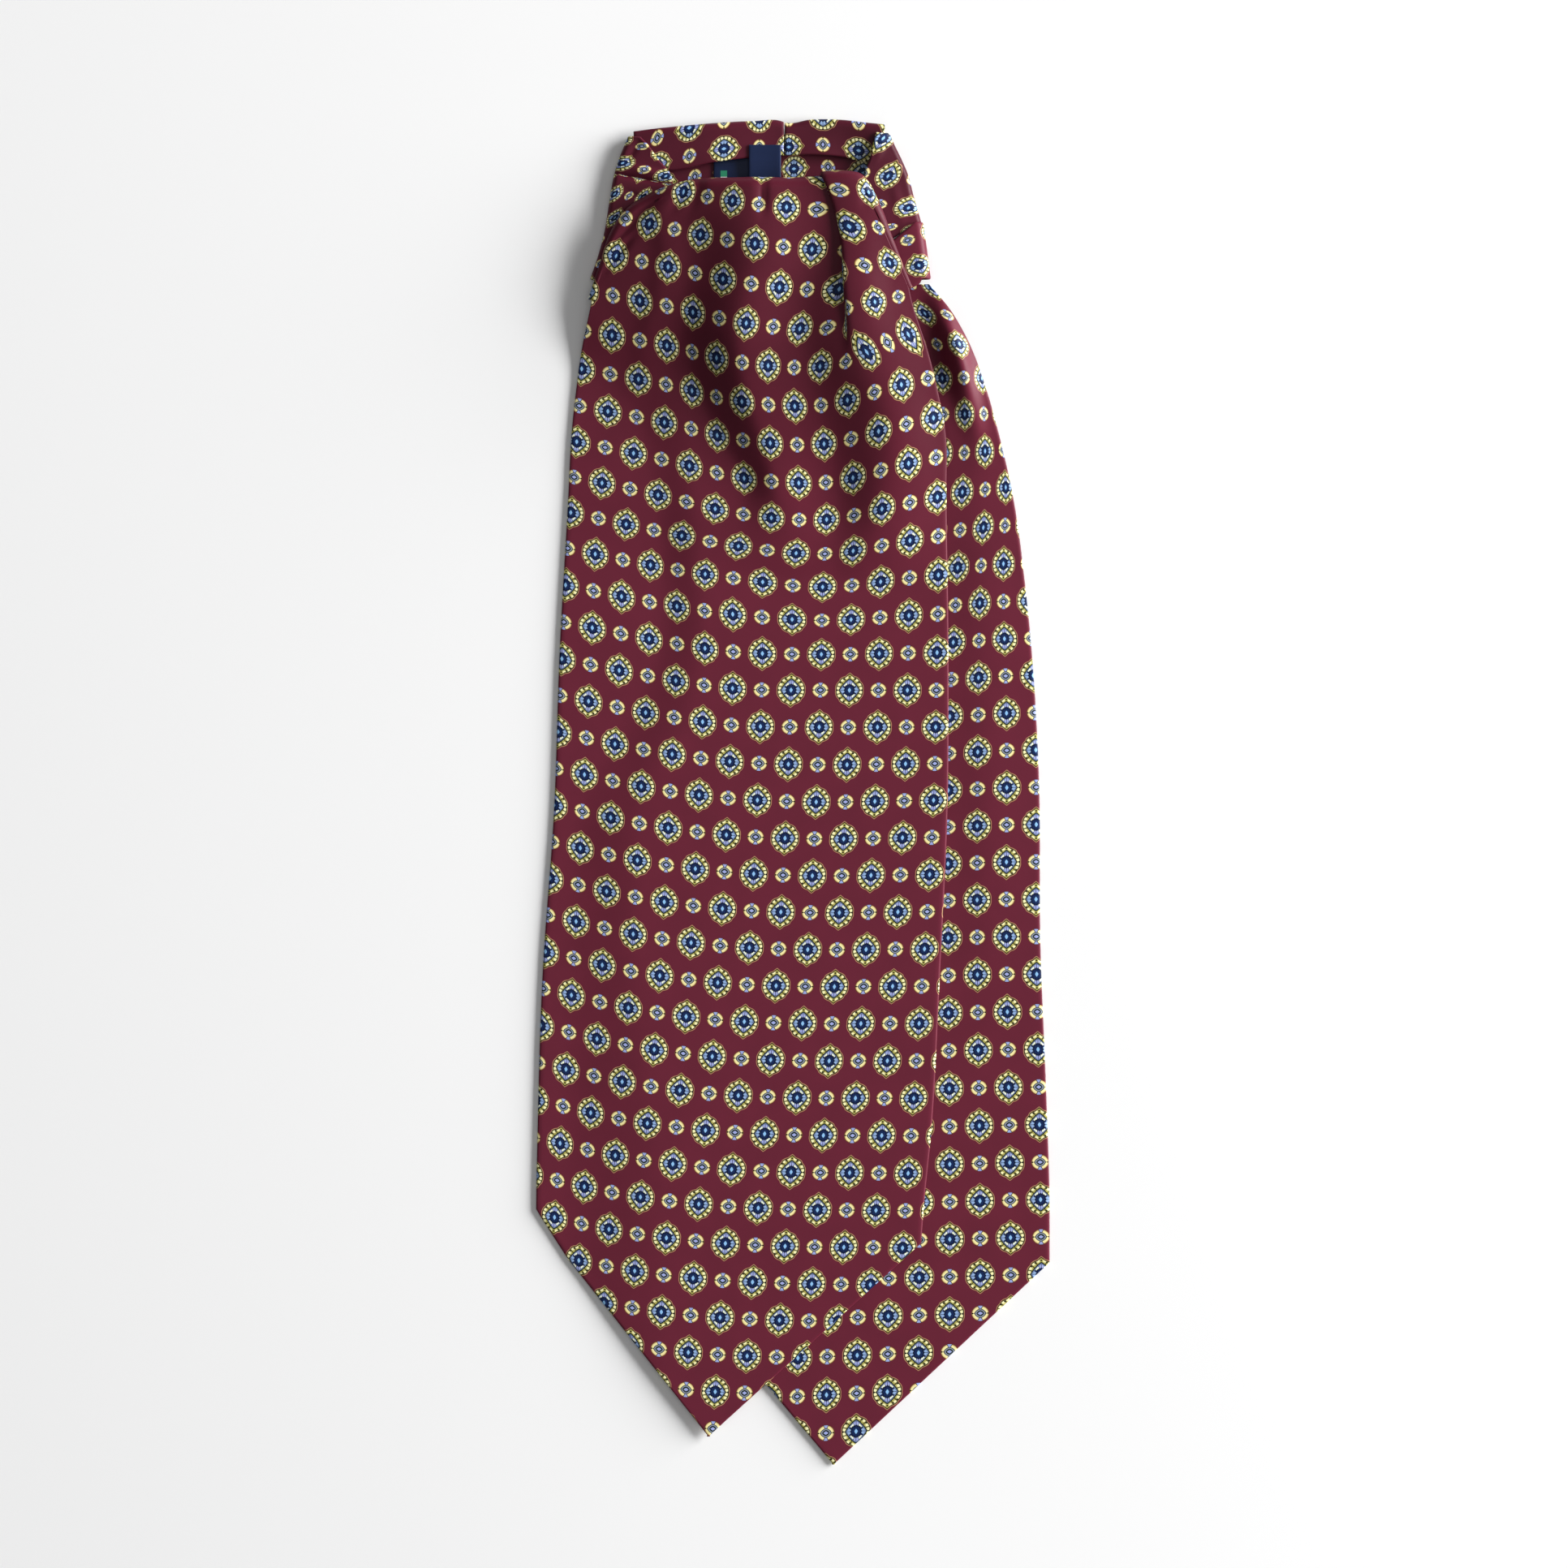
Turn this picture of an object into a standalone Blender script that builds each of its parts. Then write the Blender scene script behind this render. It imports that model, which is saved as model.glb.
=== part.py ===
"""A silk day cravat, tied once and laid flat on a table with its neckband turned over.

The strand has a pointed blade at each end. The rear blade lies on the table. The neckband folds
over at the left and at the right, and the front blade rises through the neck opening, rolls over
the knot and lies on the rear blade. Every stretch that shows is a wall of its own, the hidden
layers of the knot are one rounded solid.

The script works in metres. Tables are in millimetres and are scaled as they are read. +X is
across to the right, +Y is up the strand to the neckband, +Z is off the table. The origin is on
the table, under the middle of the outline.
"""

from collections import namedtuple
from math import cos, pi, radians, sin

import bmesh
import bpy
import numpy as np

MM = 0.001

# Driving dimensions, in millimetres.
WALL = 1.6              # two plies of silk twill with their turned edges
LABEL_WALL = 0.8        # a woven label
GAP = 0.3               # between neighbouring pieces
ROLL_RADIUS = 4.3       # middle of the roll where the front blade comes over
ROLL_END_RADIUS = 1.6   # the same at both ends of the roll
ROLL_TURN = radians(175.0)      # how far round it comes in the middle
ROLL_END_TURN = radians(60.0)   # and at both ends
ROLL_SWELL_POWER = 2.2  # how soon it fills out from its ends
BLUNT_TIP = 1.2         # width left at the point of a blade
EDGE_POWER = 5.0        # how near a side edge the folds flatten out
FOLD_FADE = 12.0        # length over which a fold starts, above its first row

# Counts of rows and columns.
POINT_ROWS = 6          # in the pointed end of a blade
FRONT_COLUMNS = 20
FRONT_BODY_ROWS = 10
SHOULDER_ROWS = 16      # from the level rows up to the roll
ROLL_STEPS = 6
REAR_COLUMNS = 16
REAR_RAISED_ROWS = 13   # across the raised fold
FOLD_STEPS = 6          # round a turned fold
BAND_STEPS = 3          # from a free edge to its fold
WRAP_STEPS = 6
FLAP_STEPS = 3
FLAP_COLUMN = 8.0       # width of a column of the back band, about
LABEL_STEPS = 6
SHARP_ANGLE = radians(50.0)     # turns sharper than this shade as edges

# Heights of the middles of the walls, one layer on another.
ON_TABLE = WALL / 2
ON_REAR = ON_TABLE + WALL + GAP
ON_BACK_BAND = ON_REAR + WALL + GAP
ON_SIDE_BANDS = ON_BACK_BAND + WALL + GAP

Edges = namedtuple("Edges", "height left right")
Point = namedtuple("Point", "across height")
Crease = namedtuple("Crease", "height across depth")
Fold = namedtuple("Fold", "left_width right_width run")
Band = namedtuple("Band", "outer_across outer_height inner_across inner_height")
Flap = namedtuple("Flap", "across lap top")

# ---------------------------------------------------------------- front blade
FRONT_TIP = Point(-32.6, -248.5)
FRONT_LEFT_CORNER = Point(-99.2, -161.0)
FRONT_LEFT_CORNER_TURN = Point(-87.0, -180.0)
FRONT_RIGHT_CORNER = Point(49.6, -173.8)
FRONT_EDGES = [
    Edges(190.5, -79.4, 46.4),
    Edges(174.0, -82.4, 52.4),
    Edges(156.0, -84.1, 56.2),
    Edges(137.0, -85.7, 59.2),
    Edges(118.0, -86.6, 59.3),
    Edges(55.0, -90.1, 60.1),
    Edges(-7.0, -92.3, 59.7),
    Edges(-70.0, -96.7, 56.8),
    Edges(-133.0, -98.7, 53.3),
    Edges(-161.0, -99.2, 50.5),
    Edges(-173.8, -99.2, 49.6),
]
# The top edge, from its left end over the knot to its right end.
FRONT_TOP_EDGE = [
    Point(-79.4, 190.5),
    Point(-74.6, 204.6),
    Point(-71.5, 214.0),
    Point(-65.0, 224.4),
    Point(-55.5, 230.8),
    Point(-44.0, 235.2),
    Point(-17.9, 236.9),
    Point(7.2, 237.4),
    Point(18.2, 239.4),
    Point(26.0, 238.3),
    Point(33.3, 227.0),
    Point(38.5, 214.0),
    Point(44.5, 199.0),
    Point(46.4, 194.6),
]
BODY_START = -140.0     # level rows of the body, from here
SHOULDER_START = 100.0  # to here, and above it they bend up towards the top edge
SHOULDER_EASE_POWER = 4
# Where the blade steps down from the rear blade to the table, with half the width of the step.
STEP = [
    Crease(-250.0, -62.0, 8.0),
    Crease(-101.0, -66.0, 8.0),
    Crease(-54.0, -70.0, 9.0),
    Crease(-7.0, -69.0, 9.0),
    Crease(22.0, -54.0, 10.0),
    Crease(50.0, -43.5, 8.5),
    Crease(90.0, -43.5, 8.5),
    Crease(118.0, -46.0, 9.0),
    Crease(140.0, -50.0, 10.0),
    Crease(156.0, -58.0, 13.0),
    Crease(172.0, -76.0, 18.0),
    Crease(190.0, -100.0, 18.0),
]
# The blade over the knot, as lines that run along it from left to right, each with its rise at
# a few heights.
KNOT_LINES = [
    # left edge
    [
        Crease(90.0, -90.0, 0.0),
        Crease(150.0, -86.0, 0.0),
        Crease(162.0, -85.0, 0.2),
        Crease(172.0, -84.0, 1.0),
        Crease(182.0, -82.0, 2.4),
        Crease(192.0, -80.0, 3.8),
        Crease(202.0, -78.0, 4.6),
        Crease(215.0, -73.5, 6.2),
        Crease(228.0, -64.0, 8.0),
        Crease(240.0, -56.0, 8.6),
    ],
    # outside the foot of the shoulder's steep face
    [
        Crease(88.0, -58.0, 0.0),
        Crease(97.0, -58.0, 0.4),
        Crease(108.0, -58.0, 0.8),
        Crease(130.0, -60.0, 0.8),
        Crease(150.0, -61.0, 0.8),
        Crease(165.0, -62.0, 1.4),
        Crease(180.0, -63.0, 3.6),
        Crease(190.0, -63.0, 5.0),
        Crease(202.0, -62.0, 6.3),
        Crease(215.0, -60.0, 7.4),
        Crease(228.0, -56.0, 8.8),
        Crease(240.0, -49.0, 9.8),
    ],
    # foot of the steep face
    [
        Crease(84.0, -26.0, 0.0),
        Crease(96.0, -24.0, 1.1),
        Crease(108.0, -21.0, 1.9),
        Crease(120.0, -19.5, 2.1),
        Crease(135.0, -28.0, 2.2),
        Crease(148.0, -34.5, 2.2),
        Crease(158.0, -38.5, 2.4),
        Crease(168.0, -41.5, 3.7),
        Crease(180.0, -44.0, 5.4),
        Crease(190.0, -43.5, 6.6),
        Crease(202.0, -42.0, 7.8),
        Crease(215.0, -43.0, 8.8),
        Crease(228.0, -45.0, 10.0),
        Crease(240.0, -40.0, 11.0),
    ],
    # crest left of the middle
    [
        Crease(83.0, -2.0, 0.0),
        Crease(96.0, -2.5, 1.9),
        Crease(108.0, -4.4, 3.6),
        Crease(118.0, -6.2, 5.2),
        Crease(132.0, -9.3, 7.0),
        Crease(146.5, -14.4, 9.1),
        Crease(162.0, -18.6, 11.3),
        Crease(175.0, -20.0, 13.0),
        Crease(191.0, -17.8, 13.9),
        Crease(203.0, -14.6, 14.1),
        Crease(219.0, -14.8, 14.2),
        Crease(240.0, -14.7, 14.0),
    ],
    # hollow between the crests
    [
        Crease(83.0, 13.0, 0.0),
        Crease(96.0, 15.0, 1.4),
        Crease(108.0, 16.0, 2.1),
        Crease(118.0, 16.0, 3.3),
        Crease(132.0, 13.5, 5.8),
        Crease(147.0, 8.0, 8.2),
        Crease(162.0, 4.0, 10.0),
        Crease(175.0, 2.0, 11.0),
        Crease(191.0, 4.0, 11.5),
        Crease(203.0, 9.5, 11.5),
        Crease(219.0, 12.5, 11.7),
        Crease(240.0, 8.0, 12.5),
    ],
    # crest of the pleat and, below it, of the right lobe
    [
        Crease(80.0, 27.0, 0.0),
        Crease(90.0, 29.5, 1.6),
        Crease(98.0, 32.0, 2.9),
        Crease(106.0, 33.5, 4.1),
        Crease(116.0, 34.5, 5.7),
        Crease(130.0, 35.8, 8.3),
        Crease(146.0, 34.0, 11.2),
        Crease(160.0, 29.5, 13.6),
        Crease(175.0, 26.0, 14.8),
        Crease(190.0, 25.0, 14.4),
        Crease(203.0, 24.5, 13.7),
        Crease(219.0, 24.0, 13.0),
        Crease(240.0, 20.0, 12.8),
    ],
    # right edge
    [
        Crease(88.0, 60.0, 0.0),
        Crease(106.0, 60.0, 0.2),
        Crease(128.0, 60.0, 2.4),
        Crease(145.0, 58.5, 5.0),
        Crease(160.0, 56.0, 7.8),
        Crease(175.0, 53.0, 9.5),
        Crease(192.0, 48.0, 10.5),
        Crease(215.0, 39.5, 11.7),
        Crease(230.0, 33.0, 12.2),
        Crease(244.0, 28.0, 12.3),
    ],
]
FRONT_FOLDS = [
    # soft ridge on the left shoulder
    Fold(5.0, 9.0, [
        Crease(240.0, -46.0, 0.2),
        Crease(231.0, -47.0, 0.5),
        Crease(222.0, -50.0, 0.8),
        Crease(209.0, -48.5, 1.0),
        Crease(194.0, -51.0, 0.9),
        Crease(175.0, -55.5, 0.7),
        Crease(163.0, -57.5, 0.3),
        Crease(152.0, -59.0, 0.0),
    ]),
]

# ---------------------------------------------------------------- rear blade
REAR_TIP = Point(15.7, -259.5)
REAR_LEFT_CORNER = Point(-55.5, -175.0)
REAR_RIGHT_CORNER = Point(99.2, -181.4)
REAR_EDGES = [
    Edges(196.5, -2.0, 52.6),
    Edges(187.3, -10.0, 60.2),
    Edges(174.8, -20.0, 67.5),
    Edges(156.0, -32.0, 74.7),
    Edges(137.0, -34.0, 80.0),
    Edges(118.0, -32.0, 84.4),
    Edges(80.0, -29.0, 89.8),
    Edges(43.0, -29.0, 93.2),
    Edges(5.0, -46.0, 95.1),
    Edges(-60.0, -55.5, 95.7),
    Edges(-108.0, -55.5, 97.6),
    Edges(-158.0, -55.5, 99.2),
    Edges(-181.4, -55.5, 99.2),
]
REAR_FOLDS = [
    # raised fold beside the knot
    Fold(5.0, 4.2, [
        Crease(196.0, 55.0, 0.4),
        Crease(186.0, 58.0, 2.5),
        Crease(172.0, 63.0, 5.2),
        Crease(150.0, 68.5, 2.3),
        Crease(136.0, 71.5, 0.6),
        Crease(124.0, 74.0, 0.0),
    ]),
    # the blade's right side falls gently to its edge
    Fold(12.0, 15.5, [
        Crease(180.0, 64.0, 0.0),
        Crease(150.0, 69.0, 0.5),
        Crease(110.0, 73.0, 0.8),
        Crease(60.0, 75.0, 0.7),
        Crease(0.0, 76.0, 0.6),
        Crease(-50.0, 77.0, 0.4),
        Crease(-100.0, 78.0, 0.0),
    ]),
]
REAR_BODY_HEIGHTS = [-140.0, -90.0, -40.0, 5.0, 24.0, 43.0, 80.0]
REAR_RAISED_START = 95.0

# ---------------------------------------------------------------- neckband
# Each row runs from the fold at the outline to the free edge at the neck opening.
LEFT_BAND = [
    Band(-63.6, 253.4, -58.8, 253.0),
    Band(-65.0, 250.1, -55.5, 249.6),
    Band(-67.4, 244.0, -52.0, 244.6),
    Band(-69.4, 237.0, -47.5, 239.2),
    Band(-70.9, 228.1, -47.0, 233.0),
    Band(-72.6, 217.5, -56.0, 220.0),
    Band(-75.0, 208.0, -60.0, 209.0),
    Band(-78.4, 198.0, -65.0, 198.5),
]
RIGHT_BAND = [
    Band(37.4, 254.6, 32.2, 254.8),
    Band(39.3, 250.0, 30.7, 250.0),
    Band(42.2, 244.0, 29.7, 244.6),
    Band(44.9, 237.5, 27.4, 238.6),
    Band(46.4, 231.3, 28.0, 231.6),
    Band(48.2, 225.0, 28.5, 220.0),
    Band(49.7, 219.9, 33.0, 210.0),
]
FOLD_RETURN = 1.4  # length of the turned-under layer past the fold
# The wrap's rows run along it, each from its upper edge to its lower edge.
WRAP_ROWS = [
    Band(25.0, 203.0, 26.0, 186.0),
    Band(33.0, 207.0, 36.0, 190.5),
    Band(40.2, 212.8, 45.8, 194.6),
    Band(45.0, 217.0, 49.0, 196.4),
]
WRAP_FOLD = Band(50.6, 219.0, 53.3, 198.2)
BACK_FLAP = [
    Flap(-61.5, 242.5, 255.4),
    Flap(-48.0, 240.2, 256.6),
    Flap(-30.0, 243.4, 258.1),
    Flap(-15.0, 245.2, 258.9),
    Flap(-4.5, 246.0, 258.9),
    Flap(-3.1, 246.0, 258.4),
    Flap(7.0, 246.2, 259.5),
    Flap(20.0, 245.2, 259.3),
    Flap(27.5, 243.6, 258.4),
    Flap(35.5, 243.8, 257.6),
]
CENTRE_BACK_SEAM = -3.3
LOWER_FLAP_LEFT = -57.0
LOWER_FLAP_RIGHT = 31.0
LOWER_FLAP_BOTTOM = 220.0
LOWER_FLAP_INSET = 4.0  # its top edge stays this far inside the upper flap's

# ---------------------------------------------------------------- labels
BRAND_LABEL_LEFT = -17.0
BRAND_LABEL_RIGHT = -4.6
BRAND_LABEL_TOP = 250.0
BRAND_LABEL_BOTTOM = 231.0
BRAND_LABEL_SAG = 0.6
CARE_LABEL_LEFT = -30.6
CARE_LABEL_RIGHT = -16.2
CARE_LABEL_BOTTOM = 229.0

# ---------------------------------------------------------------- hidden layers
KNOT_OUTLINE = [
    Point(-12.0, 222.0),
    Point(8.0, 221.0),
    Point(18.0, 213.0),
    Point(21.0, 190.0),
    Point(23.0, 164.0),
    Point(20.0, 142.0),
    Point(8.0, 127.0),
    Point(-7.0, 124.0),
    Point(-20.0, 137.0),
    Point(-33.0, 151.0),
    Point(-45.0, 166.0),
    Point(-54.0, 182.0),
    Point(-55.0, 198.0),
    Point(-47.0, 211.0),
    Point(-31.0, 220.0),
]
KNOT_CLEARANCE = 0.8    # under the front blade
KNOT_REACH = 6.0        # it stays under the lowest place of the front blade within this distance
KNOT_SIDES = 36
# Rings of the solid, from the table up: how far inside the outline, the share of the height
# under the front blade, and the ring's scale. The side is grooved between the layers.
Ring = namedtuple("Ring", "inset share scale")
KNOT_RINGS = [
    Ring(1.2, 0.0, 1.0),
    Ring(0.0, 0.16, 1.0),
    Ring(0.9, 0.32, 1.0),
    Ring(0.5, 0.48, 1.0),
    Ring(1.6, 0.64, 1.0),
    Ring(2.2, 0.8, 1.0),
    Ring(6.0, 1.0, 1.0),
    Ring(6.0, 1.0, 0.8),
    Ring(6.0, 1.0, 0.6),
    Ring(6.0, 1.0, 0.4),
    Ring(6.0, 1.0, 0.2),
]


SILK = ("burgundy_silk", (0.14, 0.018, 0.036), 0.42)
NAVY = ("navy_label", (0.008, 0.022, 0.075), 0.5)


def clear_scene():
    """Remove whatever the scene holds."""
    for thing in list(bpy.data.objects):
        bpy.data.objects.remove(thing, do_unlink=True)


def finish(kind):
    """The material of one kind of cloth."""
    name, colour, roughness = kind
    material = bpy.data.materials.get(name) or bpy.data.materials.new(name)
    material.use_nodes = True
    shader = material.node_tree.nodes["Principled BSDF"]
    shader.inputs["Base Color"].default_value = (*colour, 1.0)
    shader.inputs["Roughness"].default_value = roughness
    shader.inputs["Metallic"].default_value = 0.0
    return material


def smooth_step(low, high, value):
    """0 below low, 1 above high and an even rise between."""
    share = np.clip((np.asarray(value, float) - low) / (high - low), 0.0, 1.0)
    return share * share * (3.0 - 2.0 * share)


def read_smooth(places, values, at):
    """Values of a smooth curve through a few measured ones, held level past its ends."""
    order = np.argsort(places)
    places = np.asarray(places, float)[order]
    values = np.asarray(values, float)[order]
    slopes = np.gradient(values, places)
    at = np.clip(at, places[0], places[-1])
    index = np.clip(np.searchsorted(places, at, side="right") - 1, 0, len(places) - 2)
    span = places[index + 1] - places[index]
    share = (at - places[index]) / span
    rest = 1.0 - share
    start = values[index] * (1.0 + 2.0 * share) + slopes[index] * span * share
    end = values[index + 1] * (3.0 - 2.0 * share) - slopes[index + 1] * span * rest
    return start * rest * rest + end * share * share


def column(rows, name):
    """One named column of a table."""
    return [getattr(row, name) for row in rows]


def read_row(rows, key, name, at):
    """A table's column read at a place between its rows."""
    return read_smooth(column(rows, key), column(rows, name), at)


def read_path(points, shares):
    """Points at even shares of the length of a smooth path."""
    across = np.array(column(points, "across"), float)
    height = np.array(column(points, "height"), float)
    steps = np.hypot(np.diff(across), np.diff(height))
    length = np.concatenate([[0.0], np.cumsum(steps)])
    at = np.asarray(shares) * length[-1]
    return read_smooth(length, across, at), read_smooth(length, height, at)


def fold_depth(folds, across, height):
    """Sum of all folds' heights at a place, each a soft ridge or trough along its run."""
    total = np.zeros(np.broadcast(across, height).shape)
    for fold in folds:
        middle = read_row(fold.run, "height", "across", height)
        depth = read_row(fold.run, "height", "depth", height)
        top = fold.run[0].height
        depth = depth * smooth_step(-top - FOLD_FADE, -top, -height)
        offset = across - middle
        width = np.where(offset < 0.0, fold.left_width, fold.right_width)
        total = total + depth * np.exp(-((offset / width) ** 2))
    return total


def lying_height(across, height):
    """Middle of the front blade where it lies flat: on the table, or right of a line on the
    rear blade."""
    line = read_row(STEP, "height", "across", height)
    reach = read_row(STEP, "height", "depth", height)
    return ON_TABLE + (ON_REAR - ON_TABLE) * smooth_step(-1.0, 1.0, (across - line) / reach)


def rise_through(lines, across, height):
    """Rise of a surface through lines that run along it, level where a line is a crest or a
    hollow, held past the outer lines and nowhere below zero."""
    places = [read_row(line, "height", "across", height) for line in lines]
    levels = [read_row(line, "height", "depth", height) for line in lines]
    gaps = [after - before for before, after in zip(places, places[1:])]
    slopes = [(after - before) / gap for before, after, gap in zip(levels, levels[1:], gaps)]
    turns = [slopes[0]]
    for before, after in zip(slopes, slopes[1:]):
        product = np.maximum(before * after, 0.0)
        turns.append(2.0 * product / np.where(product > 0.0, before + after, 1.0))
    turns.append(slopes[-1])
    total = levels[0] + np.zeros(np.broadcast(across, height).shape)
    for index, gap in enumerate(gaps):
        share = np.clip((across - places[index]) / gap, 0.0, 1.0)
        rest = 1.0 - share
        start = levels[index] * (1.0 + 2.0 * share) + turns[index] * gap * share
        end = levels[index + 1] * (3.0 - 2.0 * share) - turns[index + 1] * gap * rest
        through = start * rest * rest + end * share * share
        total = np.where(across >= places[index], through, total)
    return np.maximum(total, 0.0)


def front_height(across, height):
    """Middle of the front blade's wall above the table."""
    edge_height = np.minimum(height, FRONT_EDGES[0].height)
    left = read_row(FRONT_EDGES, "height", "left", edge_height)
    right = read_row(FRONT_EDGES, "height", "right", edge_height)
    side = np.clip((2.0 * across - left - right) / (right - left), -1.0, 1.0)
    away_from_edge = 1.0 - np.abs(side) ** EDGE_POWER
    folds = fold_depth(FRONT_FOLDS, across, height) * away_from_edge
    return lying_height(across, height) + rise_through(KNOT_LINES, across, height) + folds


def rear_height(across, height):
    """Middle of the rear blade's wall above the table."""
    return ON_TABLE + fold_depth(REAR_FOLDS, across, height)


def pointed_rows(heights, columns, edges, tip, left_path, right_path):
    """Plan of a blade: level rows between its side edges, and between its slanted edges below."""
    shares = np.linspace(0.0, 1.0, columns + 1)
    rows = []
    for height in heights:
        left = read_row(edges, "height", "left", height)
        right = read_row(edges, "height", "right", height)
        if height < left_path[0].height:
            left = np.interp(-height, [-point.height for point in left_path],
                             [point.across for point in left_path])
        if height < right_path[0].height:
            right = np.interp(-height, [-point.height for point in right_path],
                              [point.across for point in right_path])
        if right - left < BLUNT_TIP:
            left = tip.across - BLUNT_TIP / 2
            right = tip.across + BLUNT_TIP / 2
        across = left + (right - left) * shares
        rows.append(np.stack([across, np.full_like(across, height)], axis=1))
    return rows


def front_body_heights():
    """Heights of the level rows of the front blade, from its tip up."""
    point = np.linspace(FRONT_TIP.height, FRONT_RIGHT_CORNER.height, POINT_ROWS)
    body = np.linspace(BODY_START, SHOULDER_START, FRONT_BODY_ROWS)
    return [*point, FRONT_LEFT_CORNER.height, *body]


def roll_profile(shares):
    """Radius and reach of the roll at shares of the top edge, fullest in the middle."""
    swell = np.sin(pi * shares) ** ROLL_SWELL_POWER
    radius = ROLL_END_RADIUS + (ROLL_RADIUS - ROLL_END_RADIUS) * swell
    reach = ROLL_END_TURN + (ROLL_TURN - ROLL_END_TURN) * swell
    return radius, reach


def front_surface():
    """Mid-surface of the front blade: body, shoulders and the roll over the knot."""
    shares = np.linspace(0.0, 1.0, FRONT_COLUMNS + 1)
    left_path = [FRONT_LEFT_CORNER, FRONT_LEFT_CORNER_TURN, FRONT_TIP]
    right_path = [FRONT_RIGHT_CORNER, FRONT_TIP]
    plan = pointed_rows(front_body_heights(), FRONT_COLUMNS, FRONT_EDGES, FRONT_TIP,
                        left_path, right_path)
    across, height = read_path(FRONT_TOP_EDGE, shares)
    top_edge = np.stack([across, height], axis=1)
    along = np.gradient(top_edge, axis=0)
    along /= np.linalg.norm(along, axis=1, keepdims=True)
    outward = np.stack([-along[:, 1], along[:, 0]], axis=1)
    radius, reach = roll_profile(shares)
    inset = radius * np.sin(np.minimum(reach, pi / 2)) + WALL / 2
    base = top_edge - outward * inset[:, None]
    start = plan[-1]
    for rise in np.linspace(0.0, 1.0, SHOULDER_ROWS + 1)[1:]:
        row = start + (base - start) * rise
        left_edge = read_row(FRONT_EDGES, "height", "left", row[0, 1])
        right_edge = read_row(FRONT_EDGES, "height", "right", row[-1, 1])
        ease = 1.0 - rise ** SHOULDER_EASE_POWER
        row[:, 0] += ease * ((left_edge - row[0, 0]) * (1.0 - shares)
                             + (right_edge - row[-1, 0]) * shares)
        plan.append(row)
    plan = np.array(plan)
    lift = front_height(plan[..., 0], plan[..., 1])
    surface = [np.dstack([plan, lift])]
    crest = lift[-1]
    for step in range(1, ROLL_STEPS + 1):
        turn = reach * step / ROLL_STEPS
        row = base + outward * (radius * np.sin(turn))[:, None]
        fall = radius * (1.0 - np.cos(turn))
        surface.append(np.dstack([row[None], (crest - fall)[None]]))
    return np.concatenate(surface, axis=0)


def rear_surface():
    """Mid-surface of the rear blade."""
    point = np.linspace(REAR_TIP.height, REAR_RIGHT_CORNER.height, POINT_ROWS)
    raised = np.linspace(REAR_RAISED_START, REAR_EDGES[0].height, REAR_RAISED_ROWS)
    heights = [*point, REAR_LEFT_CORNER.height, *REAR_BODY_HEIGHTS, *raised]
    plan = pointed_rows(heights, REAR_COLUMNS, REAR_EDGES, REAR_TIP,
                        [REAR_LEFT_CORNER, REAR_TIP], [REAR_RIGHT_CORNER, REAR_TIP])
    plan = np.array(plan)
    return np.dstack([plan, rear_height(plan[..., 0], plan[..., 1])])


def side_band_surface(rows, level):
    """Mid-surface of a neckband side: flat from its free edge, then round the fold and under."""
    radius = (level - ON_TABLE) / 2
    lines = []
    for place in np.linspace(0.0, len(rows) - 1.0, 2 * len(rows) - 1):
        index = range(len(rows))
        row = Band(*(read_smooth(index, column(rows, name), place) for name in Band._fields))
        outer = np.array([row.outer_across, row.outer_height])
        inner = np.array([row.inner_across, row.inner_height])
        out = np.array([np.sign(row.outer_across - row.inner_across), 0.0])
        centre = outer - out * (radius + WALL / 2)
        shares = np.arange(BAND_STEPS) / BAND_STEPS
        line = [(*(inner + (centre - inner) * share), level) for share in shares]
        for angle in np.linspace(0.0, pi, FOLD_STEPS + 1):
            reach = centre + out * radius * sin(angle)
            line.append((*reach, ON_TABLE + radius * (1.0 + cos(angle))))
        line.append((*(centre - out * FOLD_RETURN), ON_TABLE))
        lines.append(line)
    return np.array(lines)


def wrap_surface():
    """Mid-surface of the wrap: across the rear blade, over its edge and under."""
    level = ON_SIDE_BANDS
    radius = (level - ON_TABLE) / 2
    points = WRAP_STEPS + 1
    shares = np.linspace(0.0, 1.0, points)[:, None]

    def edge_to_edge(row):
        upper = np.array([row.outer_across, row.outer_height])
        lower = np.array([row.inner_across, row.inner_height])
        return upper + (lower - upper) * shares

    lines = [np.column_stack([edge_to_edge(row), np.full(points, level)]) for row in WRAP_ROWS]
    outline = edge_to_edge(WRAP_FOLD) - np.array([radius + WALL / 2, 0.0])
    for angle in np.linspace(0.0, pi, FOLD_STEPS + 1):
        reach = outline + np.array([radius * sin(angle), 0.0])
        fall = np.full(points, ON_TABLE + radius * (1.0 + cos(angle)))
        lines.append(np.column_stack([reach, fall]))
    under = outline - np.array([FOLD_RETURN, 0.0])
    lines.append(np.column_stack([under, np.full(points, ON_TABLE)]))
    return np.array(lines)


def columns_between(start, end):
    """Places across, about a column apart."""
    return np.linspace(start, end, round((end - start) / FLAP_COLUMN) + 1)


def flap_surface(start, end):
    """Mid-surface of the upper pleat of the back band between two places across."""
    lines = []
    for across in columns_between(start, end):
        lap = read_row(BACK_FLAP, "across", "lap", across)
        top = read_row(BACK_FLAP, "across", "top", across)
        heights = np.linspace(top, lap, FLAP_STEPS + 1)
        lines.append([(across, height, ON_REAR) for height in heights])
    return np.array(lines)


def lower_flap_surface():
    """Mid-surface of the lower pleat of the back band."""
    lines = []
    for across in columns_between(LOWER_FLAP_LEFT, LOWER_FLAP_RIGHT):
        top = read_row(BACK_FLAP, "across", "top", across) - LOWER_FLAP_INSET
        heights = np.linspace(top, LOWER_FLAP_BOTTOM, FLAP_STEPS + 1)
        lines.append([(across, height, ON_TABLE) for height in heights])
    return np.array(lines)


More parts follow.
